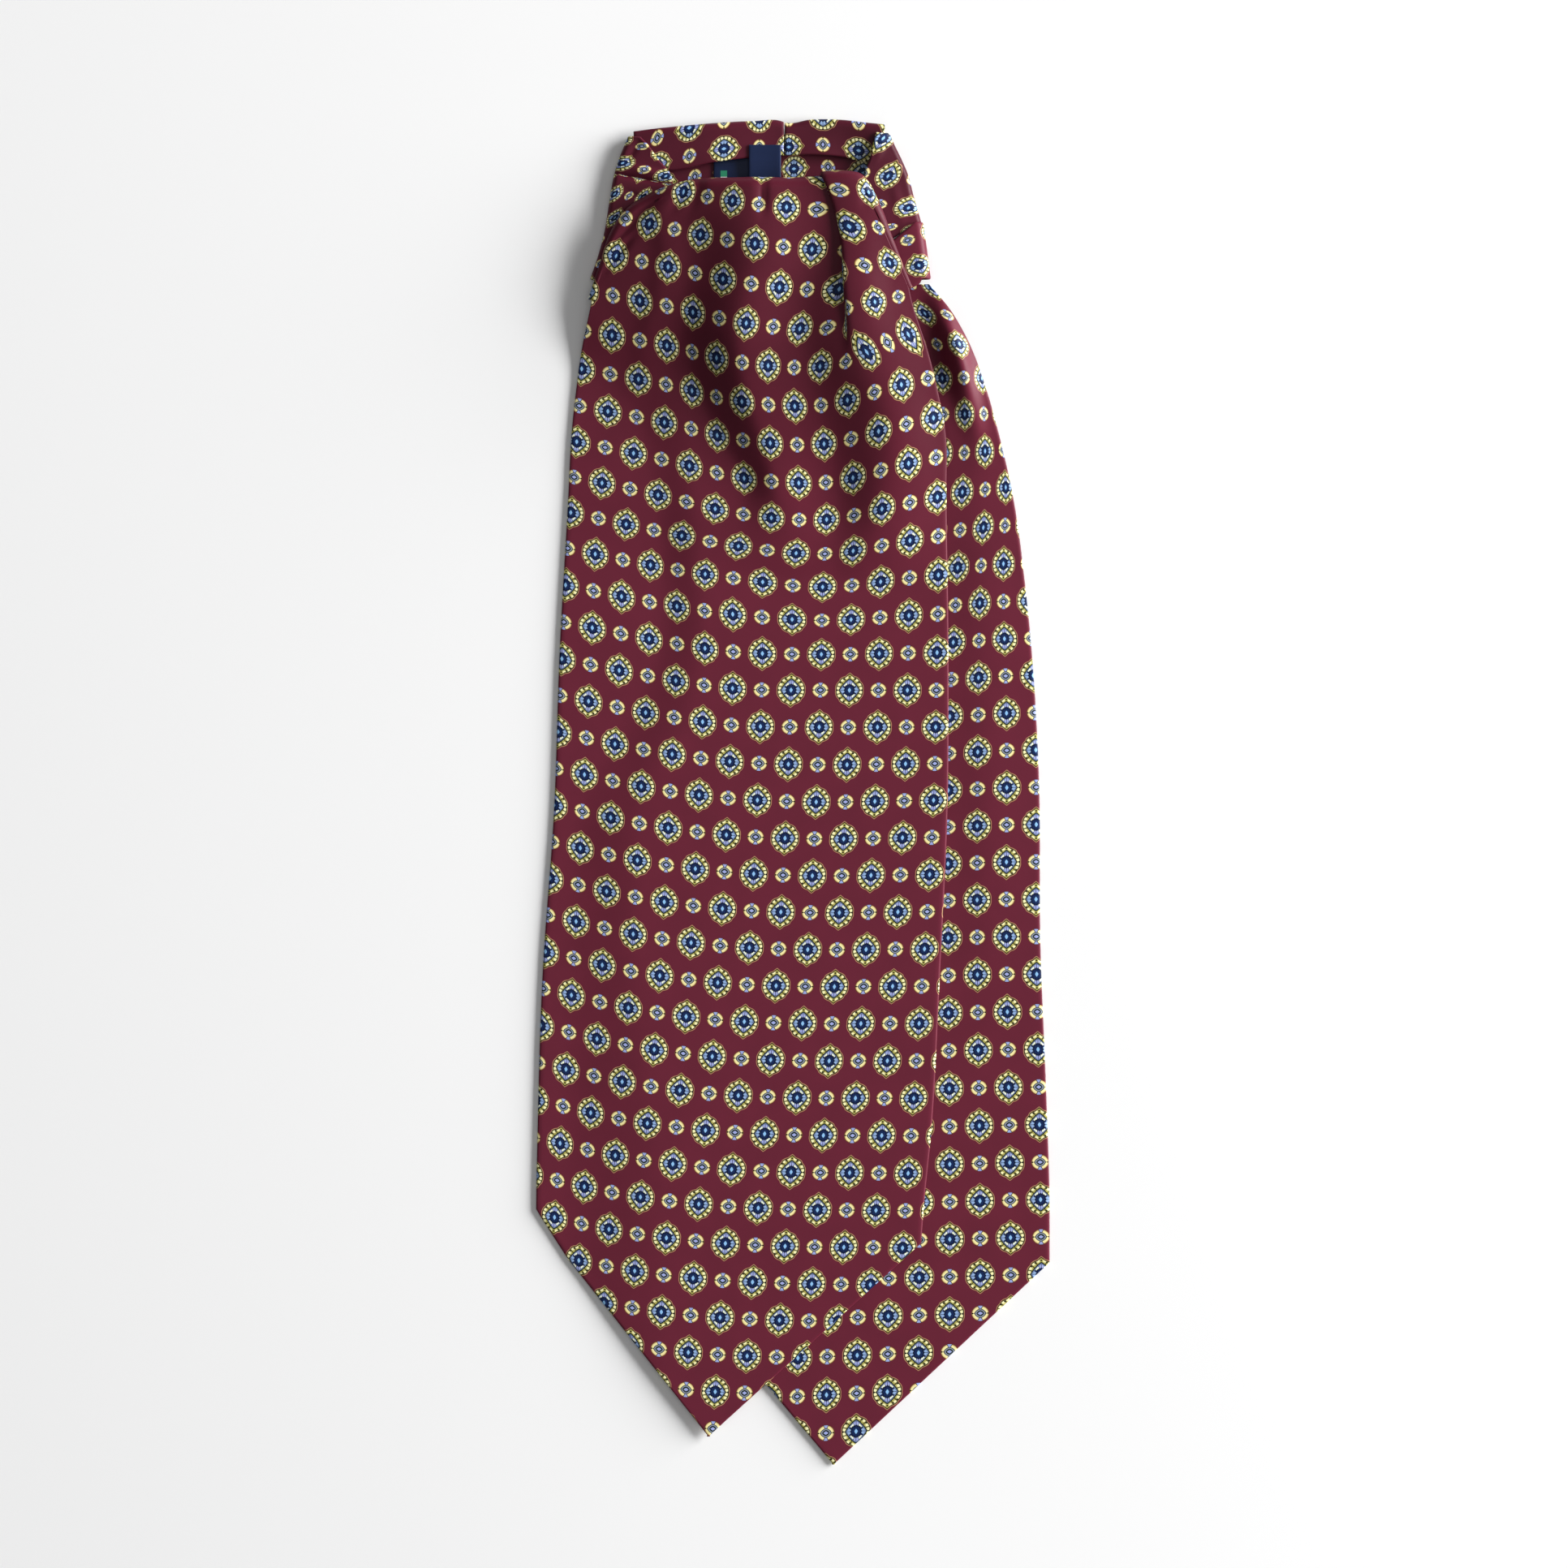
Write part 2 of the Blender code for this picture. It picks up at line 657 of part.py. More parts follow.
def brand_label_surface():
    """Mid-surface of the long label: on the upper pleat, then down into the neck opening."""
    on_flap = ON_REAR + WALL / 2 + GAP + LABEL_WALL / 2
    lines = []
    heights = np.linspace(BRAND_LABEL_TOP, BRAND_LABEL_BOTTOM, LABEL_STEPS + 1)
    for across in columns_between(BRAND_LABEL_LEFT, BRAND_LABEL_RIGHT):
        sag = BRAND_LABEL_SAG * smooth_step(-BRAND_LABEL_TOP, -BRAND_LABEL_BOTTOM, -heights)
        lines.append([(across, height, on_flap - drop) for height, drop in zip(heights, sag)])
    return np.array(lines)


def care_label_surface():
    """Mid-surface of the small label: on the lower pleat, up to the lap."""
    on_lower = WALL + GAP + LABEL_WALL / 2
    lines = []
    for across in columns_between(CARE_LABEL_LEFT, CARE_LABEL_RIGHT):
        lap = read_row(BACK_FLAP, "across", "lap", across)
        heights = np.linspace(lap - GAP, CARE_LABEL_BOTTOM, LABEL_STEPS + 1)
        lines.append([(across, height, on_lower) for height in heights])
    return np.array(lines)


def add_solid(name, vertices, faces, kind):
    """A named closed solid from points in millimetres, shaded smooth over its soft turns."""
    mesh = bpy.data.meshes.new(name)
    shape = bmesh.new()
    corners = [shape.verts.new([value * MM for value in vertex]) for vertex in vertices]
    for face in faces:
        shape.faces.new([corners[index] for index in face])
    bmesh.ops.recalc_face_normals(shape, faces=shape.faces)
    shape.to_mesh(mesh)
    shape.free()
    mesh.shade_smooth()
    mesh.set_sharp_from_angle(angle=SHARP_ANGLE)
    mesh.materials.append(finish(kind))
    thing = bpy.data.objects.new(name, mesh)
    bpy.context.scene.collection.objects.link(thing)
    return thing


def add_wall(name, surface, thickness, kind):
    """A closed wall of even thickness about a grid of mid-surface points."""
    rows, columns = surface.shape[:2]
    normal = np.cross(np.gradient(surface, axis=1), np.gradient(surface, axis=0))
    normal /= np.linalg.norm(normal, axis=2, keepdims=True)
    one_side = (surface + normal * thickness / 2).reshape(-1, 3)
    other_side = (surface - normal * thickness / 2).reshape(-1, 3)
    count = rows * columns

    def at(row, place):
        return row * columns + place

    faces = []
    for row in range(rows - 1):
        for place in range(columns - 1):
            quad = [at(row, place), at(row, place + 1), at(row + 1, place + 1), at(row + 1, place)]
            faces.append(quad)
            faces.append([index + count for index in reversed(quad)])
    rim = [at(0, place) for place in range(columns)]
    rim += [at(row, columns - 1) for row in range(1, rows)]
    rim += [at(rows - 1, place) for place in range(columns - 2, -1, -1)]
    rim += [at(row, 0) for row in range(rows - 2, 0, -1)]
    for here, after in zip(rim, rim[1:] + rim[:1]):
        faces.append([after, here, here + count, after + count])
    return add_solid(name, [*one_side, *other_side], faces, kind)


def knot_ceiling(across, height):
    """Height the hidden layers reach: just under the lowest part of the front blade nearby."""
    lowest = front_height(across, height)
    for angle in np.arange(0.0, 2.0 * pi, pi / 4):
        beside = front_height(across + KNOT_REACH * cos(angle), height + KNOT_REACH * sin(angle))
        lowest = np.minimum(lowest, beside)
    return lowest - WALL / 2 - KNOT_CLEARANCE


def add_knot_layers():
    """The hidden layers: one rounded solid whose side is grooved between its layers."""
    closed = [*KNOT_OUTLINE, KNOT_OUTLINE[0]]
    shares = np.arange(KNOT_SIDES) / KNOT_SIDES
    outline = np.stack(read_path(closed, shares), axis=1)
    middle = outline.mean(axis=0)
    reach = np.linalg.norm(outline - middle, axis=1, keepdims=True)
    base = WALL + GAP
    vertices = []
    for inset, share, scale in KNOT_RINGS:
        ring = middle + (outline - middle) * (1.0 - inset / reach) * scale
        level = base + (knot_ceiling(ring[:, 0], ring[:, 1]) - base) * share
        vertices += [tuple(point) for point in np.column_stack([ring, level])]
    faces = []
    for first in range(0, len(vertices) - KNOT_SIDES, KNOT_SIDES):
        for side in range(KNOT_SIDES):
            here = first + side
            after = first + (side + 1) % KNOT_SIDES
            faces.append([here, after, after + KNOT_SIDES, here + KNOT_SIDES])
    faces.append(list(range(KNOT_SIDES))[::-1])
    faces.append(list(range(len(vertices) - KNOT_SIDES, len(vertices))))
    return add_solid("knot_layers", vertices, faces, SILK)


def build():
    """All pieces of the cravat."""
    clear_scene()
    seam_left = CENTRE_BACK_SEAM - GAP / 2
    seam_right = CENTRE_BACK_SEAM + GAP / 2
    add_wall("rear_blade", rear_surface(), WALL, SILK)
    add_wall("front_blade", front_surface(), WALL, SILK)
    add_wall("wrap_band", wrap_surface(), WALL, SILK)
    add_wall("left_band", side_band_surface(LEFT_BAND, ON_BACK_BAND), WALL, SILK)
    add_wall("right_band", side_band_surface(RIGHT_BAND, ON_BACK_BAND), WALL, SILK)
    add_wall("back_band_left", flap_surface(BACK_FLAP[0].across, seam_left), WALL, SILK)
    add_wall("back_band_right", flap_surface(seam_right, BACK_FLAP[-1].across), WALL, SILK)
    add_wall("back_band_lower", lower_flap_surface(), WALL, SILK)
    add_wall("brand_label", brand_label_surface(), LABEL_WALL, NAVY)
    add_wall("care_label", care_label_surface(), LABEL_WALL, NAVY)
    add_knot_layers()


build()
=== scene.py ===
"""Looks of the silk day cravat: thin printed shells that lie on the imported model's own forms.

Lengths are in millimetres and are scaled as meshes are made. +X is across to the right, +Y is up
the strand to the neckband, +Z is off the table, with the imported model's origin.

The print is a small repeat of two motifs on a lattice. Each shell carries its lattice coordinates
in the UV layer "print", so the motifs follow the cloth through its folds. The material draws both
motifs from those coordinates.
"""

from collections import namedtuple
from functools import partialmethod
from math import cos, pi, radians, sin

import bmesh
import bpy
import numpy as np
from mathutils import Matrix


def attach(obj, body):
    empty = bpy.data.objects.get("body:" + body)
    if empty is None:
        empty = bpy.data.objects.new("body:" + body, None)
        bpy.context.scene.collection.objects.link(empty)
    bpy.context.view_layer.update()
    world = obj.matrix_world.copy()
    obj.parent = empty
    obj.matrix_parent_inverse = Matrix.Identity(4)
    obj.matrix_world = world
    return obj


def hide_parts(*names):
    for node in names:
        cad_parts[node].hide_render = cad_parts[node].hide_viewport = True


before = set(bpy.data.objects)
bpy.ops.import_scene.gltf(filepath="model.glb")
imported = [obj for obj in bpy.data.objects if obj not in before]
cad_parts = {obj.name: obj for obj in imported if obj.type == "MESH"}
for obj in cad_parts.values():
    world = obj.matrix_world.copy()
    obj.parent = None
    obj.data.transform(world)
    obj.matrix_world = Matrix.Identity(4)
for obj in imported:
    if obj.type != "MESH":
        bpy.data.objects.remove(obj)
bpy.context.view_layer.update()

MM = 0.001

Edges = namedtuple("Edges", "height left right")
Point = namedtuple("Point", "across height")
Crease = namedtuple("Crease", "height across depth")
Fold = namedtuple("Fold", "left_width right_width run")
Dent = namedtuple("Dent", "across height half_width half_height turn depth")
Band = namedtuple("Band", "outer_across outer_height inner_across inner_height")
Flap = namedtuple("Flap", "across lap top")
Patch = namedtuple("Patch", "left right bottom top")
Pleat = namedtuple("Pleat", "height across columns rows step")
PrintRow = namedtuple("PrintRow", "row across height")
Stretch = namedtuple("Stretch", "across height column_step row_step")
Surface = namedtuple("Surface", "points plan")
Grid = namedtuple("Grid", "count middle spread gain width")
Cut = namedtuple("Cut", "width length held area rests_on")


def table(kind, rows):
    """A table's rows as named tuples of one kind."""
    return [kind(*row) for row in rows]


# ---- driving dimensions
SILK = 1.1              # thickness of the two plies
LABEL = 0.6             # thickness of a woven label
LABEL_GAP = 0.2
SOFT_EDGE = 0.7         # width over which an edge rounds off
SOFT_END = SOFT_EDGE * np.array([0.0, 0.1, 0.35, 1.0])     # the first grid lines from an edge
ON_TABLE = 0.8          # middles of the layers above the table
ON_REAR = 2.7
FRONT_ON_REAR = 2.2     # the front blade lies closer
LEFT_BAND_INNER, LEFT_BAND_FOLD = 5.0, 4.0      # the left side leans out
RIGHT_BAND_INNER, RIGHT_BAND_FOLD = 5.9, 4.5
ON_SIDE_BANDS = 6.5
ROLL_RADIUS = 4.3
ROLL_END_RADIUS = 1.6
ROLL_TURN = radians(175.0)
ROLL_END_TURN = radians(60.0)
ROLL_SWELL_POWER = 2.2
BLUNT_TIP = 1.2
EDGE_POWER = 5.0        # how near a side edge the folds flatten out
FOLD_FADE = 12.0        # reach past its upper end in which a fold fades

# The print's repeat.
COLUMN_PITCH = 11.34    # across the strand, from a large motif to the small one beside it
ROW_PITCH = 14.2        # along the strand

# ---- grids of the shells
# Lines across a blade, closer together about a share of its width, and the width they are for.
FRONT_ACROSS = Grid(132, 0.72, 0.06, 2.5, 140.0)
REAR_ACROSS = Grid(96, 0.9, 0.12, 1.6, 150.0)
FINE_SHARES = 2001      # steps in which the lines' spacing is added up
# How far apart the rows of a blade are: the first past an edge, at its point and further up.
FIRST_ROW = 1.5
FRONT_POINT_PITCH, FRONT_PITCH = 2.4, 2.6
REAR_POINT_PITCH, REAR_PITCH, REAR_FOLDS_PITCH = 3.0, 4.0, 2.0
REAR_FOLDS_START = 80.0
SHOULDER_ROWS = 96
SHOULDER_EASE = 4       # how late these leave the side edges
# Numbers of grid lines, and the lengths they are for.
ROLL_ROWS, ROLL_LENGTH = 16, 9.0
BAND_ROWS, BAND_LENGTH = 100, 50.0
BAND_COLUMNS = 34
WRAP_ROWS, WRAP_LENGTH = 24, 26.0
WRAP_COLUMNS, WRAP_WIDTH = 20, 18.0
FLAP_ROWS, FLAP_WIDTH = 20, 14.0
FLAP_PITCH = 0.8
FOLD_STEPS = 15
RETURN_STEPS = (0.3, 0.7, 0.9, 1.0)
SHORTEST_NORMAL = 1e-9

# ---- front blade
FRONT_TIP = Point(-32.6, -248.5)
FRONT_LEFT_CORNER = Point(-99.2, -161.0)
FRONT_LEFT_CORNER_TURN = Point(-87.0, -180.0)
FRONT_RIGHT_CORNER = Point(49.6, -173.8)
FRONT_EDGES = table(Edges, (
    (190.5, -79.4, 46.4), (174, -82.4, 52.4), (156, -84.1, 56.2), (137, -85.7, 59.2),
    (118, -86.6, 59.3), (55, -90.1, 60.1), (-7, -92.3, 59.7), (-70, -96.7, 56.8),
    (-133, -98.7, 53.3), (-161, -99.2, 50.5), (-173.8, -99.2, 49.6),
))
FRONT_TOP_EDGE = table(Point, (
    (-79.4, 190.5), (-74.6, 204.6), (-71.5, 214), (-65, 224.4), (-55.5, 230.8), (-44, 235.2),
    (-17.9, 236.9), (7.2, 237.4), (18.2, 239.4), (26, 238.3), (33.3, 227), (38.5, 214), (44.5, 199),
    (46.4, 194.6),
))
SHOULDER_START = 100.0
# Where the blade steps down from the rear blade to the table, with half the width of the step.
STEP = table(Crease, (
    (-250, -68, 20), (-170, -69, 20), (-101, -72, 17), (-54, -73, 15), (-7, -70, 13), (22, -56, 13),
    (50, -44.5, 10.5), (90, -43.5, 8.5), (118, -46, 9), (140, -50, 10), (156, -58, 13),
    (172, -76, 18), (190, -100, 18),
))
# The blade over the knot, as lines up along it, given from left to right, each with its rise
# at a few heights.
KNOT_LINES = [table(Crease, line) for line in (
    # left edge
    ((90, -90, 0), (150, -86, 0), (162, -85, 0.2), (172, -84, 1), (182, -82, 2.4), (192, -80, 3.8),
     (202, -78, 4.6), (215, -73.5, 6.2), (228, -64, 8), (240, -56, 8.6)),
    # outside the foot of the shoulder's steep face
    ((88, -58, 0), (97, -58, 0.4), (108, -58, 0.8), (130, -60, 0.8), (150, -61, 0.8),
     (165, -62, 1.4), (180, -63, 3.6), (190, -63, 5), (202, -62, 6.3), (215, -60, 7.4),
     (228, -56, 8.8), (240, -49, 9.8)),
    # foot of the steep face
    ((84, -26, 0), (96, -24, 1.1), (108, -21, 1.9), (120, -19.5, 2.1), (135, -28, 2.2),
     (148, -34.5, 2.2), (158, -38.5, 2.4), (168, -41.5, 3.7), (180, -44, 5.4), (190, -43.5, 6.6),
     (202, -42, 7.8), (215, -43, 8.8), (228, -45, 10), (240, -40, 11)),
    # crest left of the middle
    ((83, -2, 0), (96, -2.5, 1.9), (108, -4.4, 3.6), (118, -6.2, 5.2), (132, -9.3, 7),
     (146.5, -14.4, 9.1), (162, -18.6, 11.3), (175, -20, 13), (191, -17.8, 13.9),
     (203, -14.6, 14.1), (219, -14.8, 14.2), (240, -14.7, 14)),
    # hollow between the crests
    ((83, 13, 0), (96, 15, 1.4), (108, 16, 2.1), (118, 16, 3.3), (132, 13.5, 5.8), (147, 8, 8.2),
     (162, 4, 10), (175, 2, 11), (191, 4, 11.5), (203, 9.5, 11.5), (219, 12.5, 11.7),
     (240, 8, 12.5)),
    # crest of the pleat and, below it, of the right lobe
    ((80, 27, 0), (90, 29.5, 1.6), (98, 32, 2.9), (106, 33.5, 4.1), (116, 34.5, 5.7),
     (130, 35.8, 8.3), (146, 34, 11.2), (160, 29.5, 13.6), (175, 26, 14.8), (190, 25, 14.4),
     (203, 24.5, 13.7), (219, 24, 13), (240, 20, 12.8)),
    # right edge
    ((88, 60, 0), (106, 60, 0.2), (128, 60, 2.4), (145, 58.5, 5), (160, 56, 7.8), (175, 53, 9.5),
     (192, 48, 10.5), (215, 39.5, 11.7), (230, 33, 12.2), (244, 28, 12.3)),
)]
FRONT_FOLDS = [
    # soft ridge on the left shoulder
    Fold(5.0, 9.0, table(Crease, (
        (240, -46, 0.2), (231, -47, 0.5), (222, -50, 0.8), (209, -48.5, 1), (194, -51, 0.9),
        (175, -55.5, 0.7), (163, -57.5, 0.3), (152, -59, 0),
    ))),
]
# Short creases and soft hollows, each an oval of its own depth.
FRONT_DENTS = table(Dent, (
    (-11.6, 229, 1.4, 6, 0, -1.3), (-36, 232, 1.6, 7, -25, -0.9), (-43, 229, 1.5, 6, -38, -0.8),
    (-58, 224, 1.5, 8, -52, -1.1), (-63.5, 217, 1.3, 7, -48, -1), (-66, 209, 1.4, 8, -40, -0.9),
    (28.5, 232, 2, 5, -10, -0.8),
))

# ---- rear blade
REAR_TIP = Point(15.7, -259.5)
REAR_LEFT_CORNER = Point(-55.5, -175.0)
REAR_RIGHT_CORNER = Point(99.2, -181.4)
REAR_EDGES = table(Edges, (
    (196.5, -2, 52.6), (187.3, -10, 60.2), (174.8, -20, 67.5), (156, -32, 74.7), (137, -34, 80),
    (118, -32, 84.4), (80, -29, 89.8), (43, -29, 93.2), (5, -46, 95.1), (-60, -55.5, 95.7),
    (-108, -55.5, 97.6), (-158, -55.5, 99.2), (-181.4, -55.5, 99.2),
))
REAR_FOLDS = [
    # raised fold beside the knot
    Fold(5.0, 4.2, table(Crease, (
        (196, 55, 0.4), (186, 58, 2.5), (172, 63, 5.2), (150, 68.5, 2.3), (136, 71.5, 0.6),
        (124, 74, 0),
    ))),
    # the blade's right side falls gently to its edge
    Fold(12.0, 15.5, table(Crease, (
        (180, 64, 0), (150, 69, 0.5), (110, 73, 0.8), (60, 75, 0.7), (0, 76, 0.6), (-50, 77, 0.4),
        (-100, 78, 0),
    ))),
]

# ---- neckband
LEFT_BAND = table(Band, (
    (-63.6, 253.4, -58.8, 253), (-65, 250.1, -55.5, 249.6), (-67.4, 244, -52, 244.6),
    (-69.4, 237, -47.5, 239.2), (-70.9, 228.1, -47, 233), (-72.6, 217.5, -56, 220),
    (-75, 208, -60, 209), (-78.4, 198, -65, 198.5),
))
RIGHT_BAND = table(Band, (
    (37.4, 254.6, 32.2, 254.8), (39.3, 250, 30.7, 250), (42.2, 244, 29.7, 244.6),
    (44.9, 237.5, 27.4, 238.6), (46.4, 231.3, 28, 231.6), (48.2, 225, 28.5, 220),
    (49.7, 219.9, 33, 210),
))
FOLD_RETURN = 1.4
WRAP_BAND = table(Band, (
    (25, 204, 26, 186), (33, 208.6, 36, 190.5), (40.2, 214.4, 45.8, 194.6), (45, 218.3, 49, 196.4),
))
WRAP_FOLD = np.array([(50.4, 220.1), (53.3, 198.2)])    # upper and lower end
BACK_FLAP = table(Flap, (
    (-61.5, 242.5, 255.4), (-48, 240.2, 256.6), (-30, 243.4, 258.1), (-15, 245.2, 258.9),
    (-4.5, 246, 258.9), (-3.1, 246, 258.4), (7, 246.2, 259.5), (20, 245.2, 259.3),
    (27.5, 243.6, 258.4), (35.5, 243.8, 257.6),
))
CENTRE_BACK_SEAM = -3.3
SEAM_GAP = 0.3
LOWER_FLAP = Patch(-57.0, 31.0, 220.0, None)
LOWER_FLAP_INSET = 4.0
LAP_LIFT = 1.3          # the upper pleat's free edge stands open between the sides of the band
LAP_OPEN_FROM, LAP_OPEN_TO = -47.0, 28.0
LAP_OPEN_FADE = 8.0
LAP_WAVE = 0.35
LAP_WAVE_REACH = 6.0
# The neckband's folded top edge stands up, here place by place, and turns over within a reach.
FLAP_FULLNESS = table(Point, (
    (-61.5, 0), (-48, 1.5), (-36, 2.3), (5, 1.6), (20, 1.8), (30, 2.2), (35.5, 2.2),
))
FLAP_TURN = 2.4
LEFT_BAND_CREASE = [Point(-69.0, 239.1), Point(-50.2, 235.4)]
LEFT_BAND_DENTS = table(Dent, (
    (-60.5, 237.4, 11, 0.9, -11, -1.2), (-57, 240, 8, 1.3, -11, 0.7),
    (-61, 248.5, 1.4, 4.5, -30, -0.5), (-56, 228, 7, 1, -28, -0.9), (-64, 224, 5, 0.9, 24, -0.7),
    (-69, 212, 1, 6, -18, -0.6),
))
RIGHT_BAND_DENTS = table(Dent, (
    (34, 249, 1.5, 5, -20, 0.5), (40.5, 228, 2, 9, 14, 0.5),
))
WRAP_DENTS = [
    Dent(44.0, 204.0, 1.6, 7.0, -66.0, -0.5),
]
BRAND_LABEL = Patch(-17.0, -4.6, 231.0, 250.0)
BRAND_LABEL_SAG = 1.2
CARE_LABEL = Patch(-30.6, -16.2, 229.0, None)
CARE_LABEL_TUCK = 0.6

# ---- hidden layers
KNOT_OUTLINE = table(Point, (
    (-12, 222), (8, 221), (18, 213), (21, 190), (23, 164), (20, 142), (8, 127), (-7, 124),
    (-20, 137), (-33, 151), (-45, 166), (-54, 182), (-55, 198), (-47, 211), (-31, 220),
))
KNOT_CLEARANCE = 0.8
KNOT_REACH = 6.0
KNOT_SIDES = 120
KNOT_BASE = 1.9
KNOT_LAYERS = 3
KNOT_SIDE_SHARE = 0.8   # share of its height that its layered side takes
KNOT_GROOVE = 1.0
KNOT_LEAN = 1.8
KNOT_BULGE_POWER = 0.6
KNOT_LAYER_RINGS = 12
KNOT_SHOULDER = 5.0     # how far its rounded shoulder reaches in
KNOT_SHOULDER_RINGS = 8
KNOT_TOP_SCALES = np.linspace(0.92, 0.08, 13)

# ---- the pleat's hidden cloth
# How many columns and rows of the print the pleat hides, and how high it steps, by height.
PLEAT = table(Pleat, (
    (244, 9.5, 3.35, -0.45, 1.3), (223.4, 17, 2.7, -0.60, 0.8), (210, 19.4, 2.2, -0.60, 1.1),
    (198.3, 19.6, 1.75, -0.52, 1.5), (182.6, 20.8, 1.05, -0.42, 0.9), (166, 21.5, 0, 0, 0),
))
PLEAT_OVERHANG = 3.0
PLEAT_WIDTH = 3.2
PLEAT_POWER = 0.7       # how soon it leans over as it widens
# In its widths from its line: how far it steps up, comes down again and hides its cloth.
PLEAT_RISE, PLEAT_FALL, PLEAT_HIDES = 1.2, 6.0, 0.7

# ---- where the print lies
# Places of the lattice on the front blade: for each lattice row the across and height of five
# lattice columns.
FRONT_COLUMNS = (-9, -6, -3, 0, 3)
FRONT_PRINT = table(PrintRow, (
    (28, (-56, -33, -10, 19.8, 45), (266, 259.5, 254, 252.5, 248.5)),
    (26, (-68, -42, -13.2, 19, 45.5), (237.5, 231, 226, 223.5, 221.5)),
    (24, (-78, -48, -16, 16, 46), (209, 202.5, 195.5, 193.5, 198)),
    (22, (-80.5, -48.5, -19.5, 10.5, 40.5), (178.5, 172.5, 165.5, 164, 171.5)),
    (20, (-82.5, -49.5, -19, 12, 43.5), (149.5, 143, 136, 134.5, 142)),
    (18, (-84.5, -52, -19, 13, 45), (122, 115, 107.5, 105.5, 112)),
    (16, (-87, -55, -23, 11.5, 45), (94.5, 88, 83, 79.5, 83)),
    (14, (-88.5, -55.5, -23, 11, 44.5), (66, 59.5, 54.5, 53.5, 54)),
    (10, (-91.5, -58.5, -25, 9, 43), (9.5, 2.5, -2, -3.5, -3)),
    (4, (-96.5, -63.5, -30, 3.8, 37.5), (-75.5, -83, -87.5, -89, -89)),
    (-2, (-102.5, -71, -37.5, -3, 31), (-161.5, -168.5, -173, -175, -175.5)),
    (-8, (-108, -76.5, -43, -9.5, 24.5), (-246.5, -254, -259, -260.5, -261)),
))
REAR_COLUMNS = (-9, -6, -2, 0, 1)
REAR_PRINT = table(PrintRow, (
    (18, (-10, 18, 54, 71, 79), (199, 199, 195, 190, 187)),
    (16, (-4, 28, 64, 78, 85), (173.5, 173.5, 173, 172, 171)),
    (14, (-6, 28, 66.5, 80, 86), (146, 146, 146.3, 146.5, 146.5)),
    (12, (-10, 24, 65.5, 82.2, 89), (116, 116, 116.2, 118, 118)),
    (10, (-15, 18, 63.7, 81.3, 90.5), (87.5, 87.5, 87, 88.5, 88.5)),
    (6, (-19.5, 15, 60.6, 82.5, 93.5), (30, 30, 29.5, 30.8, 31)),
    (0, (-19.5, 15, 60, 82.5, 94), (-57.5, -57, -56, -55.5, -55.5)),
    (-6, (-19, 14.5, 60.6, 83.8, 95.5), (-144.5, -144, -143.4, -142.8, -142.6)),
    (-12, (-20.5, 13, 60.5, 84.5, 96.5), (-234.5, -232.5, -230.3, -229.5, -229)),
))
# Stretches of even print: where a large motif lies and the steps to the next column and row.
# The first three are only nearly right, as a start for the tables.
FRONT_NEARLY = Stretch(COLUMN_PITCH, -146.0, (COLUMN_PITCH, 0.0), (0.0, ROW_PITCH))
REAR_NEARLY = Stretch(83.0, -56.0, (COLUMN_PITCH, 0.0), (0.0, ROW_PITCH))
RIGHT_NEARLY = Stretch(36.6, 237.8, (9.8, 0.0), (0.0, 11.2))
LEFT_UPPER_STRETCH = Stretch(-65.6, 242.9, (8.3, -2.5), (7.45, 6.5))
LEFT_LOWER_STRETCH = Stretch(-68.7, 231.0, (5.5, -0.6), (5.5, 8.5))
LEFT_CREASE_ROWS = 2    # rows between the two, part of them hidden in the crease
LEFT_CREASE_WIDTH = 0.9
WRAP_STRETCH = Stretch(48.6, 203.3, (10.0, 4.0), (-4.4, 9.7))
KNOT_STRETCH = Stretch(-12.0, 180.0, (10.6, 4.0), (-5.0, 13.3))
RIGHT_COLUMNS = (-1, 0, 1)
RIGHT_PRINT = table(PrintRow, (
    (1, (34.75, 44.5, 54.4), (252.4, 251.4, 250.4)),
    (0, (26.9, 36.65, 46.5), (238.8, 237.8, 236.8)),
    (-1, (23.5, 33.3, 44.55), (227.9, 226.9, 225.6)),
    (-2, (17.7, 27.5, 37.35), (219.5, 218.8, 218.1)),
))
# Along the back of the neckband the print's rows run along the strand, from left to right: the
# line through its middle column and the rows' places along it.
BACK_LINE = table(Point, (
    (-60, 238), (-53.7, 241.5), (-40, 245.7), (-26.4, 248.5), (-12.5, 249.2), (-0.6, 249.2),
    (11.6, 250.1), (25.5, 247.9), (38, 247),
))
BACK_ROWS = range(-3, 6)
BACK_ROW_PLACES = (-65.0, -52.3, -39.9, -26.6, -12.9, -1.6, 11.6, 25.4, 39.0)
BACK_COLUMN_PITCH = 10.6
LOWER_FLAP_DROP, LOWER_FLAP_SHIFT = 8.2, 2.0    # the print's offset on the lower pleat
# Newton's method on a table of places, with steps in columns and rows.
NEWTON_STEPS = 12
NUDGE = 0.05
LEAST_CELL_AREA = 20.0
LONGEST_STEP = 1.5


# ---- curves and tables
def smooth_step(low, high, value):
    """0 below low, 1 above high and an even rise between."""
    share = np.clip((np.asarray(value, float) - low) / (high - low), 0.0, 1.0)
    return share * share * (3.0 - 2.0 * share)


def hermite(share, span, start, end, start_slope, end_slope):
    """A smooth curve from one value to the next, with a slope at each, at a share of the span."""
    rest = 1.0 - share
    from_start = start * (1.0 + 2.0 * share) + start_slope * span * share
    to_end = end * (3.0 - 2.0 * share) - end_slope * span * rest
    return from_start * rest * rest + to_end * share * share


